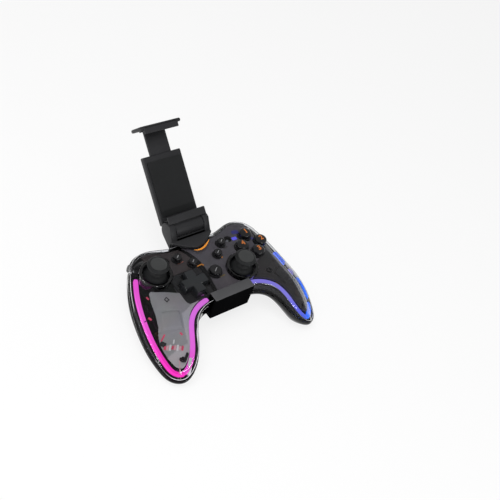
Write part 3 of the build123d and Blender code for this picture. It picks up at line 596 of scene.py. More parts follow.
clear("casing_clear", "#f0f0f2")
plastic("casing_smoke", "#0a0a0c", 0.12, grain=400, depth=0.000004, specular=0.3)
# Painted highlight: the rim bead's colour flickers between dark grey and near-white
painted_glints("edge_look", "#3c3c40", "#f2f2f4", 38)
clear("ring_clear", "#a4a4a8", base=0.05, edge_gloss=0.9)
plastic("panel_right_look", "#5f5b5f", 0.45, drift=0.2)
plastic("panel_left_look", "#453e3c", 0.45)
plastic("liner_left_look", "#979797", 0.5, drift=0.06)
plastic("liner_pale_look", "#b4b2b2", 0.5, drift=0.06)
# Painted shade: the right liner is the left one's part in a much darker grey, for the side away from the
# light
plastic("liner_right_look", "#333130", 0.45, drift=0.25)
plastic("bezel_look", "#161618", 0.35)
plastic("band_look", "#050506", 0.35, specular=0.15)
plastic("black_gloss_look", "#131315", 0.18, specular=0.3, depth=0.00001, coat=0.4)
plastic("dpad_look", "#232527", 0.3, specular=0.4, depth=0.00001)
plastic("black_satin_look", "#262628", 0.45, specular=0.3, grain=1600)
plastic("rubber_look", "#161718", 0.6, grain=1200, depth=0.00008, specular=0.35)
plastic("cap_look", "#3a3b3b", 0.62, grain=1500, depth=0.0001, specular=0.35)
plastic("grey_rubber_look", "#5a5a5c", 0.6)
plastic("pale_look", "#8a8a8c")
plastic("grey_look", "#4c4c4e", 0.5)
plastic("board_look", "#0d1a13", 0.35, drift=0.4)
plastic("cell_look", "#a9abae", 0.3)
plastic("white_look", "#dcdcdc")
metal("steel_look", "#b9bbbe")
metal("brass_look", "#c39a52")
plastic("copper_look", "#c8702c", 0.3, drift=0.25, coat=0.3)
plastic("orange_look", "#e8922c", 0.35, drift=0.25)
plastic("peach_look", "#b5705c", drift=0.2)
plastic("straw_look", "#8c7a34", drift=0.25)
plastic("rose_look", "#e0486a", drift=0.2)
plastic("blush_look", "#dfa9b2", drift=0.15)
plastic("brown_look", "#3f3733", 0.45, drift=0.15)
# Shaded and lit copies of the clip's satin: painted shade for the strap's front, painted light for the hook's
# top
plastic("strap_front_look", "#0b0b0c", 0.5, specular=0.0, grain=1600)
plastic("strap_top_look", "#49494b", 0.45, specular=0.3, grain=1600)
glowing("pink_glow", -0.088, -0.014, 1.0, "#8a1e68",
        (0.0, "#ff1fbe"), (0.25, "#ff2cc6"), (0.5, "#fb55dc"), (0.75, "#f867e4"), (1.0, "#f45ae0"))
glowing("orchid_glow", -0.088, -0.05, 0.95, "#803070", (0.0, "#fb34cc"), (0.35, "#f36cec"), (1.0, "#ea78f0"))
glowing("blue_glow", -0.09, -0.02, 1.25, "#1c3c90", (0.0, "#2f6cf6"), (0.5, "#2f72f8"), (1.0, "#3a62f4"))
glowing("lavender_glow", -0.088, -0.05, 0.95, "#3c3880",
        (0.0, "#3468f4"), (0.22, "#6f70f4"), (0.5, "#8f88ee"), (1.0, "#8a80e6"))
glowing("violet_spot", -0.06, 0.02, 0.9, "#303080", (0.0, "#5f5cf6"), (1.0, "#6a64fa"))
# Painted glow: dim violet light spilled on the parts near the face buttons
glowing("violet_dim", -0.06, 0.02, 0.9, "#1c1c40", (0.0, "#2c2c74"), (1.0, "#2a2a6c"))


# Controls: places on the face
LEFT_STICK = (-46.3, 11.0)
RIGHT_STICK = (23.3, -10.4)
DPAD = (-23.3, -8.9)
HOME = (0.0, -5.2)
RING_OUTER = 13.4
FACE_HOLE = 5.65
SMALL_HOLE = 3.75
HOME_HOLE = 5.35
FACE_BUTTONS = {"top": (46.3, 18.0), "right": (56.3, 8.0), "bottom": (46.3, -2.0), "left": (36.3, 8.0)}
SMALL_BUTTONS = {"select": (-21.6, 18.4), "turbo": (-12.3, 9.6), "light": (12.3, 9.6), "start": (21.6, 18.4)}


def plus_loop(x, y, reach, arm, corner=1.0):
    """Clockwise loop of a plus with rounded arm ends."""
    a, r, c = arm / 2, reach, corner
    points = arc(a - c, r - c, c, 90, 0, 4) + [(a, a + 0.01)] + arc(r - c, a - c, c, 90, 0, 4)
    whole = []
    for turn in range(4):
        t = math.radians(-90 * turn)
        c, s = math.cos(t), math.sin(t)
        whole += [(x + px * c - py * s, y + px * s + py * c) for px, py in points]
    return np.array(whole)


def face_openings():
    holes = [circle(*LEFT_STICK, RING_OUTER + 0.1, 72), circle(*RIGHT_STICK, RING_OUTER + 0.1, 72)]
    holes += [circle(x, y, FACE_HOLE) for x, y in FACE_BUTTONS.values()]
    holes += [circle(x, y, SMALL_HOLE, 32) for x, y in SMALL_BUTTONS.values()]
    return holes + [circle(*HOME, HOME_HOLE), plus_loop(*DPAD, 12.5, 11.2)]


# Casings. Over the bumpers, the lower edge of the clear one stays above their ceiling
BUMPER_CEILING = -6.35
PARTING_GAP = 0.12


def front_casing():
    """Clear upper casing with its openings."""
    def lower_edge(x, y):
        low = float(parting_height(x, y)) + PARTING_GAP
        over_bumper = y > 24.5 and 24 < abs(x) < 58.5
        return max(low, BUMPER_CEILING) if over_bumper else low
    sheet = thicken(shell_sheet("front_casing", face_openings(), top_height, lower_edge), WALL, True)
    keep_in(sheet, lower_edge)
    sharpen(sheet, 50)
    dress(sheet, "pad", "clear_casing", "casing_clear", "front_shell")


def keep_in(sheet, lower_edge):
    """Draws back what the wall's thickness pushed past the rim, or below the sheet's lower edge."""
    plan = np.array([(v.co.x * MM, v.co.y * MM - SHIFT_Y) for v in sheet.data.vertices])
    past = np.minimum(depth_inside(plan, RIM), 0)
    nearest = np.argmin(((plan[:, None] - RIM[None]) ** 2).sum(2), axis=1)
    plan = plan - RIM_IN[nearest] * past[:, None]
    for vertex, (x, y) in zip(sheet.data.vertices, plan):
        place = row((x, y, lower_edge(x, y) - 0.02))
        vertex.co = (place.x, place.y, max(vertex.co.z, place.z))


def rear_casing():
    """Dark lower casing, open at the back for the bumpers and triggers."""
    def upper_edge(x, y):
        return float(parting_height(x, y)) - PARTING_GAP
    pockets = [np.array([(x0, 60), (x1, 60), (x1, 26.5), (x0, 26.5)])
               for x0, x1 in ((-57.5, -25), (25, 57.5))]
    sheet = thicken(shell_sheet("rear_casing", pockets, under_height, upper_edge, 3.0), WALL, False)
    thing = sharpen(joined("rear_casing", [sheet, inner_lip()]), 50)
    dress(thing, "pad", "smoked_casing", "casing_smoke", "rear_shell")


def inner_lip():
    """Thin wall of the rear casing that stands inside the clear one."""
    verts = []
    for inset in (2.2, 2.8):
        x, y = rim_loop(inset).T
        low = parting_height(x, y) - 0.6
        low = np.where((y > 24) & (np.abs(x) > 23) & (np.abs(x) < 60), -6.2, low)
        for z in (low, np.maximum(face_height(x, y) - 3.0, low)):
            verts += list(zip(x, y, z))
    return from_lists("inner_lip", verts, bands(((0, 1), (1, 3), (3, 2), (2, 0)), len(x)))


def highlight_bead(name, inset, half):
    """Fine rounded edge that runs along the rim of the clear casing, whose colour paints the rim's highlight
    lines.
    """
    loop = rim_loop(inset)
    z = top_height(*loop.T, np.full(len(loop), float(inset)))
    sides = 6
    verts = []
    for k in range(sides):
        a = 2 * math.pi * k / sides
        c, s = math.cos(a) * half, math.sin(a) * half
        verts += [(q[0] + d[0] * c, q[1] + d[1] * c, h + s) for q, d, h in zip(loop, RIM_IN, z)]
    faces = bands([(k, (k + 1) % sides) for k in range(sides)], len(loop))
    dress(from_lists(name, verts, faces), "pad", "clear_casing", "edge_look")


front_casing()
rear_casing()
highlight_bead("casing_edge_highlight", 1.3, 0.2)

# Light guides: rounded bars along the rim of each grip
GUIDE_INSET = 5.5
GUIDE_DEPTH = 4.75
GUIDE_TOP = GUIDE_DEPTH - 1.4
GUIDE_END_X = 19.6
GUIDE_LINE = RIGHT_RIM + RIGHT_IN * GUIDE_INSET
SECTION_POINTS = 16


def bar_along(name, line, half_width, half_height, depth):
    """Bar with a rounded section that follows a plan line at a depth below the face."""
    n = len(line)
    along = np.gradient(line, axis=0)
    along /= np.hypot(*along.T)[:, None]
    section = []
    for k in range(SECTION_POINTS):
        a = 2 * math.pi * k / SECTION_POINTS
        c, s = math.cos(a), math.sin(a)
        section.append((math.copysign(abs(c) ** 0.6, c), math.copysign(abs(s) ** 0.6, s)))
    verts = []
    for i, ((x, y), (ax, ay)) in enumerate(zip(line, along)):
        shrink = 0.72 if i in (0, n - 1) else 1.0
        z = float(face_height(x, y)) - depth
        verts += [(x - ay * u * half_width * shrink, y + ax * u * half_width * shrink,
                   z + v * half_height * shrink) for u, v in section]
    m = SECTION_POINTS
    ends = [tuple(range(m)), tuple(range((n - 1) * m, n * m))]
    return from_lists(name, verts, bands(in_turn(n), m) + ends)


def on_side(line, outer):
    """True for the points of a rim line on the outer, or else the inner, side of the grip."""
    k, tip = np.arange(len(line)), int(np.argmin(line[:, 1]))
    return k <= tip if outer else k >= tip


def guide_run(name, side, slot, look, outer, high, low, half_width=2.0, half_height=1.35):
    """One lit stretch of a guide, between two y places on the outer or inner side of the grip."""
    x, y = GUIDE_LINE.T
    keep = on_side(GUIDE_LINE, outer) & (y <= high) & (y >= low) & (x > GUIDE_END_X)
    bar = sharpen(bar_along(name, GUIDE_LINE[keep] * (side, 1), half_width, half_height, GUIDE_DEPTH), 60)
    dress(bar, "pad", slot, look, "light_guide_" + ("left" if side < 0 else "right"))


def across_guide(name, side, y, width, reach, rise, look="black_gloss_look"):
    """Thin clip that crosses a guide on the outer side of the grip."""
    choice = np.flatnonzero(on_side(RIGHT_RIM, True))
    i = choice[np.argmin(np.abs(RIGHT_RIM[choice, 1] - y))]
    a, b = RIGHT_RIM[i] + RIM_IN[i] * reach[0], RIGHT_RIM[i] + RIM_IN[i] * reach[1]
    along = np.array((-RIM_IN[i][1], RIM_IN[i][0])) * width / 2
    corners = np.array([a - along, a + along, b + along, b - along]) * (side, 1)
    top = [float(face_height(x, y)) - GUIDE_TOP + rise for x, y in corners]
    verts = lifted(corners, top) + lifted(corners, np.array(top) - 1.0)
    piece = from_lists(name, verts, [(0, 1, 2, 3), (7, 6, 5, 4)] + bands([(0, 1)], 4), False)
    dress(piece, "pad", "black_satin", look)


for run in (("left_glow_outer", -1, "pink_guide", "pink_glow", True, 18.0, -80),
            ("left_glow_inner", -1, "pink_guide", "orchid_glow", False, 0, -80),
            ("right_glow_start", 1, "violet_guide", "blue_glow", True, -1.0, -16.0, 2.3, 2.0),
            ("right_glow_middle", 1, "violet_guide", "lavender_glow", True, -19.5, -27.0, 1.6, 1.8),
            ("right_glow_low", 1, "violet_guide", "blue_glow", True, -29.5, -50.0, 2.3, 2.0),
            ("right_glow_tip", 1, "violet_guide", "blue_glow", True, -52.0, -80, 2.0, 1.6),
            ("right_glow_inner", 1, "violet_guide", "lavender_glow", False, 0, -80)):
    guide_run(*run)
across_guide("left_seam", -1, -15.5, 0.45, (2.2, 9.0), 0.5)
across_guide("tip_seam", -1, -66.0, 0.5, (3.0, 8.0), 0.1, "blush_look")
across_guide("right_seam_one", 1, -17.6, 0.6, (2.4, 9.5), 0.6)
across_guide("right_seam_two", 1, -28.2, 0.6, (2.4, 9.5), 0.6)
across_guide("right_seam_three", 1, -51.0, 1.2, (2.8, 8.5), 0.6)

# Finishes of the nodes that keep the shape they have in the frame
FINISHES = {
    "panel_left_look": "face_panel_left",
    "panel_right_look": "face_panel_right",
    "bezel_look": "dpad_bezel",
    "band_look": "centre_band",
    "board_look": "main_board",
    "cell_look": "battery",
    "steel_look": "shell_screws usb_c_socket hinge_pin rumble_motors trigger_pins"
                  " stick_shaft_left stick_shaft_right",
    "brass_look": "rumble_weight_left rumble_weight_right",
    "grey_rubber_look": "face_membrane centre_membrane dpad_membrane",
    "grey_look": "dpad_rocker stick_yoke_left stick_yoke_right stick_housings",
    "black_satin_look": "led_strips dpad_support motor_cradles trigger_bracket_left trigger_bracket_right"
                        " pivot_block_left pivot_block_right",
    "rubber_look": "clip_pads cradle_pad upper_jaw_pad",
    "black_gloss_look": "bumper_left bumper_right trigger_left trigger_right",
}
for look, names in FINISHES.items():
    for name in names.split():
        for material_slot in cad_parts[name].material_slots:
            material_slot.material = bpy.data.materials[look]

# Liners of the grips, with their raised and sunk areas
LINER_DEPTH = 3.0
LINER_INSET = 8.0
LINER_OUTER = [(61.0, -8.4), (62.8, -18.0), (65.4, -27.0), (68.4, -33.0), (69.7, -38.0), (69.7, -44.0),
               (68.7, -50.0)]
LINER_INNER_TOP = [(25.8, -22.6), (33.6, -13.6), (54.0, -2.0)]
PAD_CORNERS = np.array([(60.0, -17.3), (46.0, -24.7), (50.8, -38.6), (65.7, -31.5)])
PAD_GROOVE = 0.6
STEP_LINE = np.array([(36.8, -21.9), (50.6, -17.8), (60.6, -14.8), (70, -12.5)])
STRIP_LINE = np.array([(34.0, -23.5), (46.5, -28.0), (52.0, -44.0), (53.5, -56.0)])


def strip_x(y):
    """Where the inner strip of the liner ends at a y place."""
    return np.interp(-y, -STRIP_LINE[:, 1], STRIP_LINE[:, 0])


def liner_loop():
    """Outline of the right liner: a free outer edge above, the guide's inner side below."""
    edge = RIGHT_RIM + RIGHT_IN * LINER_INSET
    tip = int(np.argmin(edge[:, 1]))
    below = [(x, y) for k, (x, y) in enumerate(edge)
             if (k <= tip and y < -51) or (k > tip and y < -22.8 and x > 25.8)]
    return np.array(arc(57.0, -1.4, 1.8, 112, 20, 5) + LINER_OUTER + below[::2] + LINER_INNER_TOP)


def grown(corners, by):
    """Polygon with its corners moved away from its middle."""
    middle = corners.mean(0)
    off = corners - middle
    return middle + off * (1 + by / np.hypot(*off.T))[:, None]


def closer(corners, pitch):
    """Polygon with points added along its sides."""
    points = []
    for a, b in zip(corners, np.roll(corners, -1, axis=0)):
        n = max(2, int(np.hypot(*(b - a)) / pitch))
        points += [tuple(a + (b - a) * i / n) for i in range(n)]
    return np.array(points)


def liner_relief(plan):
    """Groove round a raised square, a step near the top and a raised strip along the inner side."""
    x, y = np.abs(plan[:, 0]), plan[:, 1]
    gap = -depth_inside(np.column_stack([x, y]), PAD_CORNERS)
    height = np.where(np.abs(gap) < PAD_GROOVE, -0.55, 0.0)
    height = np.where(gap < -PAD_GROOVE, 0.35, height)
    height += 0.55 * step_up((y - np.interp(x, *STEP_LINE.T)) * 2.2)
    return height + 0.45 * step_up((strip_x(y) - x) * 1.6) * (y < -22)


def grip_liner(side):
    left = side < 0
    word = "left" if left else "right"
    loop = closer(liner_loop(), 1.6)
    pad = [closer(grown(PAD_CORNERS, edge + by), 1.0)
           for edge in (PAD_GROOVE, -PAD_GROOVE) for by in (0.15, -0.15)]
    holes = [circle(60 * side, -56, 1.7, 28)]
    if left:
        loop, pad = loop[::-1] * (-1, 1), [q[::-1] * (-1, 1) for q in pad]
        holes.append(rounded_box(*DPAD, 14.6, 14.6, 4.2))
    plate = on_face("liner_" + word, loop, LINER_DEPTH, 1.2, 1.1, pad, holes, liner_relief)
    # The right liner takes a darker grey than the left one: painted shade
    looks = "liner_left_look liner_pale_look" if left else "liner_right_look"
    dress(plate, "pad", "grey_panel" if left else "dark_panel", looks, "grip_liner_" + word)
    if left:
        for face in plate.data.polygons:
            x, y = abs(face.center.x * MM), face.center.y * MM - SHIFT_Y
            if (x < strip_x(y) and y < -23) or y < -49:
                face.material_index = 1


grip_liner(-1)
grip_liner(1)


def tilted_box(x, y, length, width, degrees, corner):
    """Clockwise rounded rectangle turned in the plan."""
    loop = rounded_box(0, 0, length / 2, width / 2, corner, 4)
    t = math.radians(degrees)
    turn = np.array([(math.cos(t), math.sin(t)), (-math.sin(t), math.cos(t))])
    return loop @ turn + (x, y)


def face_plate(name, loop, depth, look, slot="black_satin", thickness=0.3):
    """Small plate a little above the panels."""
    dress(on_face(name, loop, depth, thickness, 3.0), "pad", slot, look)


def patches(depth, *table, slot="black_satin"):
    """Rounded plates, each given by name, look, place, length, width, degrees and corner."""
    for name, look, *box in table:
        face_plate(name, tilted_box(*box), depth, look, slot)


def dimple(name, x, y):
    """Turned ring with a sunk middle."""
    profile = [(1.3, -0.2), (1.5, 0.45), (2.0, 0.6), (2.5, 0.45), (2.7, -0.2), (1.3, -0.2)]
    ring = lathe(name, profile, x, y, 32)
    for vertex in ring.data.vertices:
        vertex.co.z += float(face_height(x, y) - 2.75) / MM
    dress(sharpen(ring, 50), "pad", "black_satin", "black_gloss_look")


def motor_label():
    """Striped strip of terminals across the grip, over the rumble motor."""
    start, end = np.array((-69.0, -42.2)), np.array((-57.0, -50.6))
    tones = "rose blush white rose blush white blush rose".split()
    angle = math.degrees(math.atan2(*(end - start)[::-1]))
    for k, tone in enumerate(tones):
        x, y = start + (end - start) * (k + 0.5) / len(tones)
        box = (x, y, 1.5, 2.2 + 0.7 * (k * 7 % 3), angle, 0.4)
        patches(2.5, ("terminal_%d" % (k + 1), tone + "_look", *box), slot="white_plastic")
    patches(2.5, ("terminal_tag", "white_look", -61.5, -43.0, 1.1, 2.6, angle, 0.4), slot="white_plastic")


# Printed marks and small parts seen through the clear face, with painted glows, glints and highlights among
# them
patches(2.75, ("select_mark", "peach_look", -20.4, 14.6, 5.6, 0.7, 4, 0.28),
        ("turbo_mark", "orange_look", -7.4, 6.2, 5.2, 1.0, 4, 0.28),
        ("home_mark", "straw_look", 4.2, -10.6, 5.0, 0.7, 4, 0.28),
        ("light_mark", "orange_look", 14.6, 6.0, 1.6, 1.4, 0, 0.28),
        ("start_mark", "brown_look", 23.6, 13.4, 4.6, 0.6, 4, 0.28),
        ("turbo_mark_tail", "orange_look", -4.6, 5.4, 1.2, 1.4, 30, 0.28))
patches(2.6, ("cluster_light", "violet_spot", 36.2, 18.6, 4.6, 3.0, -4, 0.6))
# Dim violet glowing plates: painted glow of the light spilling round the face buttons
patches(2.8, ("cluster_painted_glow", "violet_dim", 41.0, 24.6, 6.5, 4.0, -4, 1.8))
patches(2.7, ("cluster_painted_glow_spot", "violet_dim", 51.6, 13.3, 2.4, 2.0, 10, 0.8))
patches(2.75, ("battery_patch", "brown_look", 55.2, -30.2, 9.0, 7.5, 62, 0.8),
        ("grip_patch", "brown_look", 58.2, -46.5, 6.0, 4.0, 62, 1.5))
for k in range(2):
    upright = (-49.2 - 2.2 * k, -11.9 - 0.8 * k, 0.6, 3.6, 14, 0.3)
    bar = (-50.4, -10.6 - 2.9 * k, 2.6, 0.6, 20, 0.3)
    patches(2.05, ("glyph_%d" % (k + 1), "black_satin_look", *upright),
            ("glyph_bar_%d" % (k + 1), "black_satin_look", *bar))
dimple("dimple", 44.0, -21.6)
dimple("boss", -60.0, -56.0)
motor_label()
# Rose plates that paint pink glints of the guide's light round the left liner
patches(2.6, ("painted_pink_glint_1", "rose_look", -66.6, -36.0, 4.6, 1.2, 30, 0.4),
        ("painted_pink_glint_2", "rose_look", -60.9, -2.6, 1.2, 3.0, 8, 0.4),
        ("painted_pink_glint_3", "rose_look", -67.0, -17.6, 1.3, 3.2, 12, 0.4),
        ("painted_pink_glint_4", "rose_look", -54.6, -41.3, 1.2, 2.4, 20, 0.4), slot="white_plastic")
# White plates that paint bright highlights inside the left grip's tip
patches(2.3, ("painted_white_highlight_1", "white_look", -56.0, -60.0, 5.2, 2.4, 48, 1.1), slot="white_plastic")
patches(2.9, ("painted_white_highlight_2", "white_look", -57.9, -64.2, 5.2, 2.4, 48, 1.1), slot="white_plastic")
patches(2.55, ("dark_notch", "black_gloss_look", -57.4, -56.2, 6.0, 2.2, 40, 1.0))
patches(2.6, ("dark_tab", "black_satin_look", -68.3, -39.6, 2.6, 4.6, 30, 0.4))
patches(2.35, ("centre_seam", "blush_look", -63.9, -60.2, 0.45, 10.5, -16, 0.2), slot="white_plastic")

CLIP_HALF = 19.0


def tongue_edge(x, start):
    """Front edge of the clip's tongue in plan."""
    return (x, start + 10 * (abs(x) / CLIP_HALF) ** 1.6)


def swoosh_mark():
    """Plain orange arc on the face in front of the clip's tongue."""
    upper = [tongue_edge(x, 18.9) for x in np.linspace(-4.5, 13.5, 14)]
    lower = [(x, y - 0.5 - 1.1 * math.sin(math.pi * k / 13)) for k, (x, y) in enumerate(upper)]
    face_plate("swoosh_mark", np.array(upper + lower[::-1]), -0.12, "orange_look", thickness=0.15)


swoosh_mark()

# Thumbsticks and their clear collars
STICK_PIVOT = -9.0
DOME_RADIUS = 12.0
DISH_START = 11.3
DISH_RADIUS = 6.6


def stick_cap(word, place):
    """Dome that turns in the collar, and the knurled cap with its dish."""
    x, y = place
    dome = [(0.02, STICK_PIVOT + DOME_RADIUS)]
    dome += [(DOME_RADIUS * math.sin(t), STICK_PIVOT + DOME_RADIUS * math.cos(t))
             for t in np.linspace(0.12, 1.26, 16)]
    inner = [(r * 0.9, STICK_PIVOT + (z - STICK_PIVOT) * 0.9) for r, z in reversed(dome)]
    neck = [(6.0, 2.7), (4.9, 3.6), (4.3, 5.0), (4.2, 7.0), (4.8, 8.4), (6.4, 9.3), (7.9, 9.6)]
    rim = arc(8.1, 10.2, 0.6, -90, 0, 5) + [(8.75, 10.5), (8.65, 11.0), (8.2, 11.4), (7.2, 12.05)]
    rim += arc(6.9, 11.9, 0.45, 60, 90, 3)
    dish = [(6.5, 12.2), (6.3, 11.95), (5.6, 11.8), (4.5, 11.65), (2.5, 11.52), (0.02, 11.48)]

    def knurl(k, r, z):
        return 0.16 * (k % 2) if r > 8.6 and 10.1 < z < 11.1 else 0

    pieces = [lathe("dome", dome + inner, x, y), lathe("cap", neck + rim + dish, x, y, 96, knurl)]
    thing = sharpen(joined("stick_" + word, pieces), 50)
    dress(thing, "stick_" + word, "black_rubber", "rubber_look cap_look", "thumbstick_" + word)
    centre = row((x, y, DISH_START))
    for face in thing.data.polygons:
        if face.center.z > centre.z and (face.center - centre).xy.length < DISH_RADIUS / MM:
            face.material_index = 1


def collar(word, place):
    """Clear ring round the dome of a stick."""
    outer = RING_OUTER - 0.05
    profile = [(outer, -7.0), (outer, 0.6)] + arc(outer - 0.9, 0.6, 0.9, 0, 90, 6)
    profile += arc(outer - 1.7, 0.5, 1.0, 90, 180, 5) + [(outer - 2.6, -0.6), (outer - 2.6, -2.9)]
    profile += [(outer - 1.0, -2.9), (outer - 1.0, -7.0), (outer, -7.0)]
    thing = sharpen(lathe("collar_" + word, profile, *place, 96), 45)
    dress(thing, "pad", "clear_ring", "ring_clear", "stick_ring_" + word)


for word, place in (("left", LEFT_STICK), ("right", RIGHT_STICK)):
    stick_cap(word, place)
    collar(word, place)


# Direction pad
def direction_pad():
    """Dished plus on two lugs."""
    x, y = DPAD
    loop = plus_loop(x, y, 10.9, 8.2, 1.2)
    rings = [(x, y) + (loop - (x, y)) * share for share in (0.97, 0.9)]
    plan, faces, first = spread(loop, rings, [], 1.0, 0.45)
    away = np.hypot(plan[:, 0] - x, plan[:, 1] - y)
    z = 3.4 - 1.35 * np.exp(-((away / 6.2) ** 2)) - rounded_off(corner_gap(plan, loop), 1.1, 0.9)
    z[first] = 2.5
    verts = lifted(plan, z)
    base, n = len(verts), len(first)
    verts += [(*plan[i], -5.6) for i in first]
    faces += [(first[k], first[(k + 1) % n], base + (k + 1) % n, base + k) for k in range(n)]
    faces.append(tuple(range(base, base + n)))
    pieces = [from_lists("plus", verts, faces)]
    for y0, y1 in ((y - 5.2, y - 3.8), (y + 3.8, y + 5.2)):
        pieces.append(prism("lug", [(x - 2.6, y0), (x - 2.6, y1), (x + 2.6, y1), (x + 2.6, y0)], -10, -5.5))
    dress(sharpen(joined("direction_pad", pieces), 40), "dpad", "black_gloss", "dpad_look", "dpad")


direction_pad()


# Push buttons
def push_cap(name, body, node, place, radius, height, crown, dish=0.0):
    """Turned cap that stands a height above the face, with a domed or a dished top."""
    top = float(face_height(*place)) + height
    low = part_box(node)[0].z * MM - SHIFT_Z
    flange, shoulder = radius + 0.8, top - crown - 0.5
    profile = [(0.02, low), (flange, low), (flange, low + 1.0), (radius, low + 1.0), (radius, shoulder)]
    if dish:
        bowl = radius - 0.7
        profile += arc(bowl, top - 0.7, 0.7, 10, 90, 5)
        profile += [(r, top - dish * (1 - (r / bowl) ** 2)) for r in np.linspace(radius - 1.2, 0.02, 8)]
    else:
        profile += [(radius * math.cos(t), shoulder + (crown + 0.5) * math.sin(t))
                    for t in np.linspace(0.12, 1.5, 12)]
        profile.append((0.02, top))
    dress(sharpen(lathe(name, profile, *place, 48), 45), body, "black_gloss", "black_gloss_look", node)


def numeral(name, body, text, place, size, top):
    """Plain raised figure on a button."""
    curve = settle(bpy.data.curves.new(name, "FONT"), body=text, size=size / MM, extrude=0.00018,
                   bevel_depth=0.00006, align_x="CENTER", align_y="CENTER", offset=0.00012)
    thing = settle(link(curve, name), location=row((*place, top)))
    bpy.context.view_layer.update()
    mesh = bpy.data.meshes.new_from_object(thing.evaluated_get(bpy.context.evaluated_depsgraph_get()))
    mesh.transform(thing.matrix_world)
    bpy.data.objects.remove(thing)
    dress(link(mesh, name), body, "black_gloss", "copper_look")


for k, (word, place) in enumerate(FACE_BUTTONS.items()):
    push_cap("face_cap_" + word, "face_" + word, "face_button_" + word, place, 5.3, 3.2, 1.6)
    numeral("face_mark_" + word, "face_" + word, str(k + 1), place, 6.2, float(face_height(*place)) + 3.05)
for word, place in SMALL_BUTTONS.items():
    push_cap(word + "_cap", word, word + "_button", place, 3.4, 1.6, 0.8, 0.35)
push_cap("home_cap", "home", "home_button", HOME, 5.0, 1.5, 0.5, 0.3)


def slash(word, place, length, top):
    """Thin pale stroke on the middle of a button."""
    mark = prism("slash_" + word, tilted_box(*place, length, 0.55, 38, 0.25), top - 0.35, top)
    dress(mark, word, "grey_plastic", "pale_look")


for word, place in SMALL_BUTTONS.items():
    slash(word, place, 3.2, float(face_height(*place)) + 1.36)
slash("home", HOME, 4.6, 1.3)

# Clip that holds the cradle on the pad
CLIP_FRONT = -30.3
CLIP_BACK = 31.3
CLIP_WALL = 2.6
CLIP_TOP = 2.9
CLIP_GAP = 0.5
HOOK_END = CLIP_FRONT + 6.3
REST = -REST_DEPTH
BARREL_HALF = 13.3
BARREL_RADIUS = 6.6
BORE_RADIUS = 6.95
EAR_RADIUS = 8
NOTCH_RADIUS = 8.35


def belly_line(y, depth):
    low = min(float(belly_height(0, y)), float(belly_height(CLIP_HALF, y)))
    return (y, max(low - depth, REST))


def strap_body():
    """Strap from the hook at the front, along the belly, to the back wall with its cable window."""
    steps = np.linspace(CLIP_FRONT, CLIP_BACK, 13)
    inner = [(HOOK_END, 0.3), (CLIP_FRONT, 0.3)]
    inner += [belly_line(y, CLIP_GAP) for y in steps] + [(CLIP_BACK, 0.3)]
    outer = [(CLIP_BACK + CLIP_WALL, 0.3), (CLIP_BACK + CLIP_WALL, REST), (12.0, REST)]
    outer += [belly_line(y, CLIP_GAP + CLIP_WALL) for y in reversed(steps) if y < 8]
    outer[-1] = (CLIP_FRONT - CLIP_WALL, outer[-1][1])
    outer += arc(CLIP_FRONT - CLIP_WALL + 1.8, CLIP_TOP - 1.8, 1.8, 180, 90, 6) + [(HOOK_END, CLIP_TOP)]
    strap = across("strap", inner + outer, -CLIP_HALF, CLIP_HALF)
    y0, y1 = CLIP_BACK - 1, CLIP_BACK + 4
    cut(strap, across("window", [(y0, -18), (y0, -5), (y1, -5), (y1, -18)], -8, 8))
    return bevelled(strap, 0.7)


def tongue():
    y = CLIP_BACK + CLIP_WALL
    edge = [tongue_edge(x, 20) for x in np.linspace(-CLIP_HALF, CLIP_HALF, 25)]
    return bevelled(prism("tongue", edge + [(CLIP_HALF, y), (-CLIP_HALF, y)], 0.3, CLIP_TOP), 0.8, 3, 50)


def pin_ring(radius):
    """Circle round the hinge pin in the (y, z) plane."""
    return arc(*HINGE, radius, 0, 352.5, 48)


def saddle():
    """Hollowed block that carries the back of the tongue up to the hinge barrel."""
    profile = [(CLIP_BACK, CLIP_TOP), (CLIP_BACK, -5.0), (CLIP_BACK + CLIP_WALL, -5.0),
               (38.5, -3.4), (38.5, CLIP_TOP)]
    piece = across("saddle", profile, -16.3, 16.3)
    return sharpen(cut(piece, across("hollow", pin_ring(BORE_RADIUS), -17, 17)), 40)


def ear_piece(x0):
    """Ear that holds one end of the hinge pin."""
    foot = [(CLIP_BACK + CLIP_WALL, -7.0), (CLIP_BACK, -7.0), (CLIP_BACK, CLIP_TOP)]
    return bevelled(across("ear", arc(*HINGE, EAR_RADIUS, 114, -62, 30) + foot, x0, x0 + 5.4), 1.1, 4, 40)


def clip_body():
    """Strap, tongue, saddle and ears as one piece, with painted shade on the strap's front and its other
    faces that don't face up, and painted light on its hook's top.
    """
    ears = [ear_piece(-CLIP_HALF), ear_piece(CLIP_HALF - 5.4)]
    thing = joined("clip_body", [strap_body(), tongue(), saddle()] + ears)
    dress(thing, "pad", "black_satin", "black_satin_look strap_front_look strap_top_look", "clip_base")
    # Painted light and shade: faces are given the near-black or the lighter satin copy by which way they face
    hook_z = row((0, 0, 2)).z
    for face in thing.data.polygons:
        y = face.center.y * MM - SHIFT_Y
        if y < CLIP_FRONT + 7 and face.normal.z > 0.6 and face.center.z > hook_z:
            face.material_index = 2
        elif y < 10 and face.normal.z < 0.6:
            face.material_index = 1


clip_body()

# Phone cradle, drawn flat (u along the phone, n out of its screen) and leant back
LEAN = math.radians(40.4)
PHONE_EDGE = (45.0, 14.6)
CRADLE_HALF = 18
PLATE_BACK = -14.5
LIP_FRONT = 2.3


def leant(u, n):
    c, s = math.cos(LEAN), math.sin(LEAN)
    return (PHONE_EDGE[0] + u * c - n * s, PHONE_EDGE[1] + u * s + n * c)


def block(name, half, u0, u1, n0, n1):
    """Plain block in the cradle's own directions."""
    return across(name, [leant(u0, n0), leant(u0, n1), leant(u1, n1), leant(u1, n0)], -half, half)


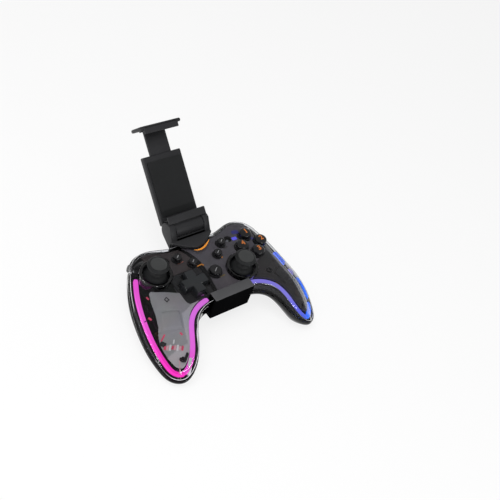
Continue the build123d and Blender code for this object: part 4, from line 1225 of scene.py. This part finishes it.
def cradle_body():
    """Back plate with the slider's channel, shelf and lip for the phone, and the hinge barrel."""
    plate = bevelled(block("plate", CRADLE_HALF, -4, 53, PLATE_BACK, -9.5), 0.9)
    sharpen(cut(plate, block("channel", 10, 6, 60, -13.4, -10.6)), 40)
    shelf = bevelled(block("shelf", CRADLE_HALF, -4, -1, PLATE_BACK, LIP_FRONT), 0.8)
    lip = bevelled(block("lip", CRADLE_HALF, -4, 2.5, 0.3, LIP_FRONT), 0.7)
    roll = bevelled(across("roll", pin_ring(BARREL_RADIUS), -BARREL_HALF, BARREL_HALF), 0.5, 3, 50)
    web = bevelled(block("web", BARREL_HALF, -9.27, -3.5, -11.32, 0.18), 0.6)
    thing = joined("cradle_body", [plate, shelf, lip, roll, web])
    ends = ((-20, -BARREL_HALF), (BARREL_HALF, 20))
    cut(thing, *[across("notch", pin_ring(NOTCH_RADIUS), x0, x1) for x0, x1 in ends])
    dress(sharpen(thing, 40), "cradle", "black_satin", "black_satin_look", "phone_cradle")


def jaw_body():
    """Upper jaw on its slider."""
    high = 76.7
    arm = bevelled(block("arm", 19, 73.7, high, PLATE_BACK, LIP_FRONT), 1.2, 4)
    lip = bevelled(block("jaw_lip", 16, 70.2, high, 0.3, LIP_FRONT), 0.8)
    bar = bevelled(block("slider", 9.8, 24.5, 74.2, -13.3, -10.7), 0.4)
    dress(joined("jaw_body", [arm, lip, bar]), "jaw", "black_satin", "black_satin_look", "upper_jaw")


cradle_body()
jaw_body()

# Floor, light and background
FLOOR_HALF = 1500
FLOOR_GLOW = 0.8
SKY_LIGHT = 0.42


def soft_light(name, place, size, power):
    """Rectangular lamp that faces the origin."""
    data = bpy.data.lights.new(name, "AREA")
    settle(data, shape="RECTANGLE", size=size[0], size_y=size[1], energy=power)
    turn = (-Vector(place)).to_track_quat("-Z", "Y").to_euler()
    return settle(link(data, name), location=place, rotation_euler=turn)


def studio():
    """White floor that shows the shadow, under a white background that lights less than it shows."""
    corners = [(FLOOR_HALF * x, FLOOR_HALF * y, REST) for x, y in ((-1, -1), (1, -1), (1, 1), (-1, 1))]
    floor = from_lists("floor", corners, [(0, 1, 2, 3)], smooth=False)
    floor.location.z = -0.0002
    matt = {"Base Color": (0.9, 0.9, 0.9, 1), "Roughness": 0.9, "Specular IOR Level": 0.1}
    tree, shader = blank("floor_white", matt)
    ray = tree.nodes.new("ShaderNodeLightPath").outputs
    share = ray["Is Camera Ray"]
    for other in ("Is Glossy Ray", "Is Transmission Ray", None):
        step = settle(tree.nodes.new("ShaderNodeMath"), operation="MAXIMUM" if other else "MULTIPLY")
        step.inputs[1].default_value = FLOOR_GLOW
        tree.links.new(share, step.inputs[0])
        if other:
            tree.links.new(ray[other], step.inputs[1])
        share = step.outputs[0]
    mixed(tree, share, shader.outputs["BSDF"], tree.nodes.new("ShaderNodeEmission").outputs["Emission"])
    floor.data.materials.append(bpy.data.materials["floor_white"])
    world = bpy.context.scene.world = bpy.data.worlds.new("studio")
    world.use_nodes = True
    tree = world.node_tree
    sky = put(tree.nodes["Background"], {"Color": (1, 1, 1, 1)})
    ray = tree.nodes.new("ShaderNodeLightPath").outputs
    varied(tree, ray["Is Camera Ray"], SKY_LIGHT, 1.0, sky.inputs["Strength"])
    soft_light("overhead", (-0.35, -0.1, 0.85), (0.6, 0.6), 5.2).visible_glossy = False
    soft_light("left_strip", (-1.1, 0.1, 0.12), (0.9, 0.05), 2.4)
    soft_light("front_strip", (-0.1, -0.95, 0.45), (1.0, 0.04), 2.6)


studio()
bpy.context.scene.view_settings.view_transform = "Standard"
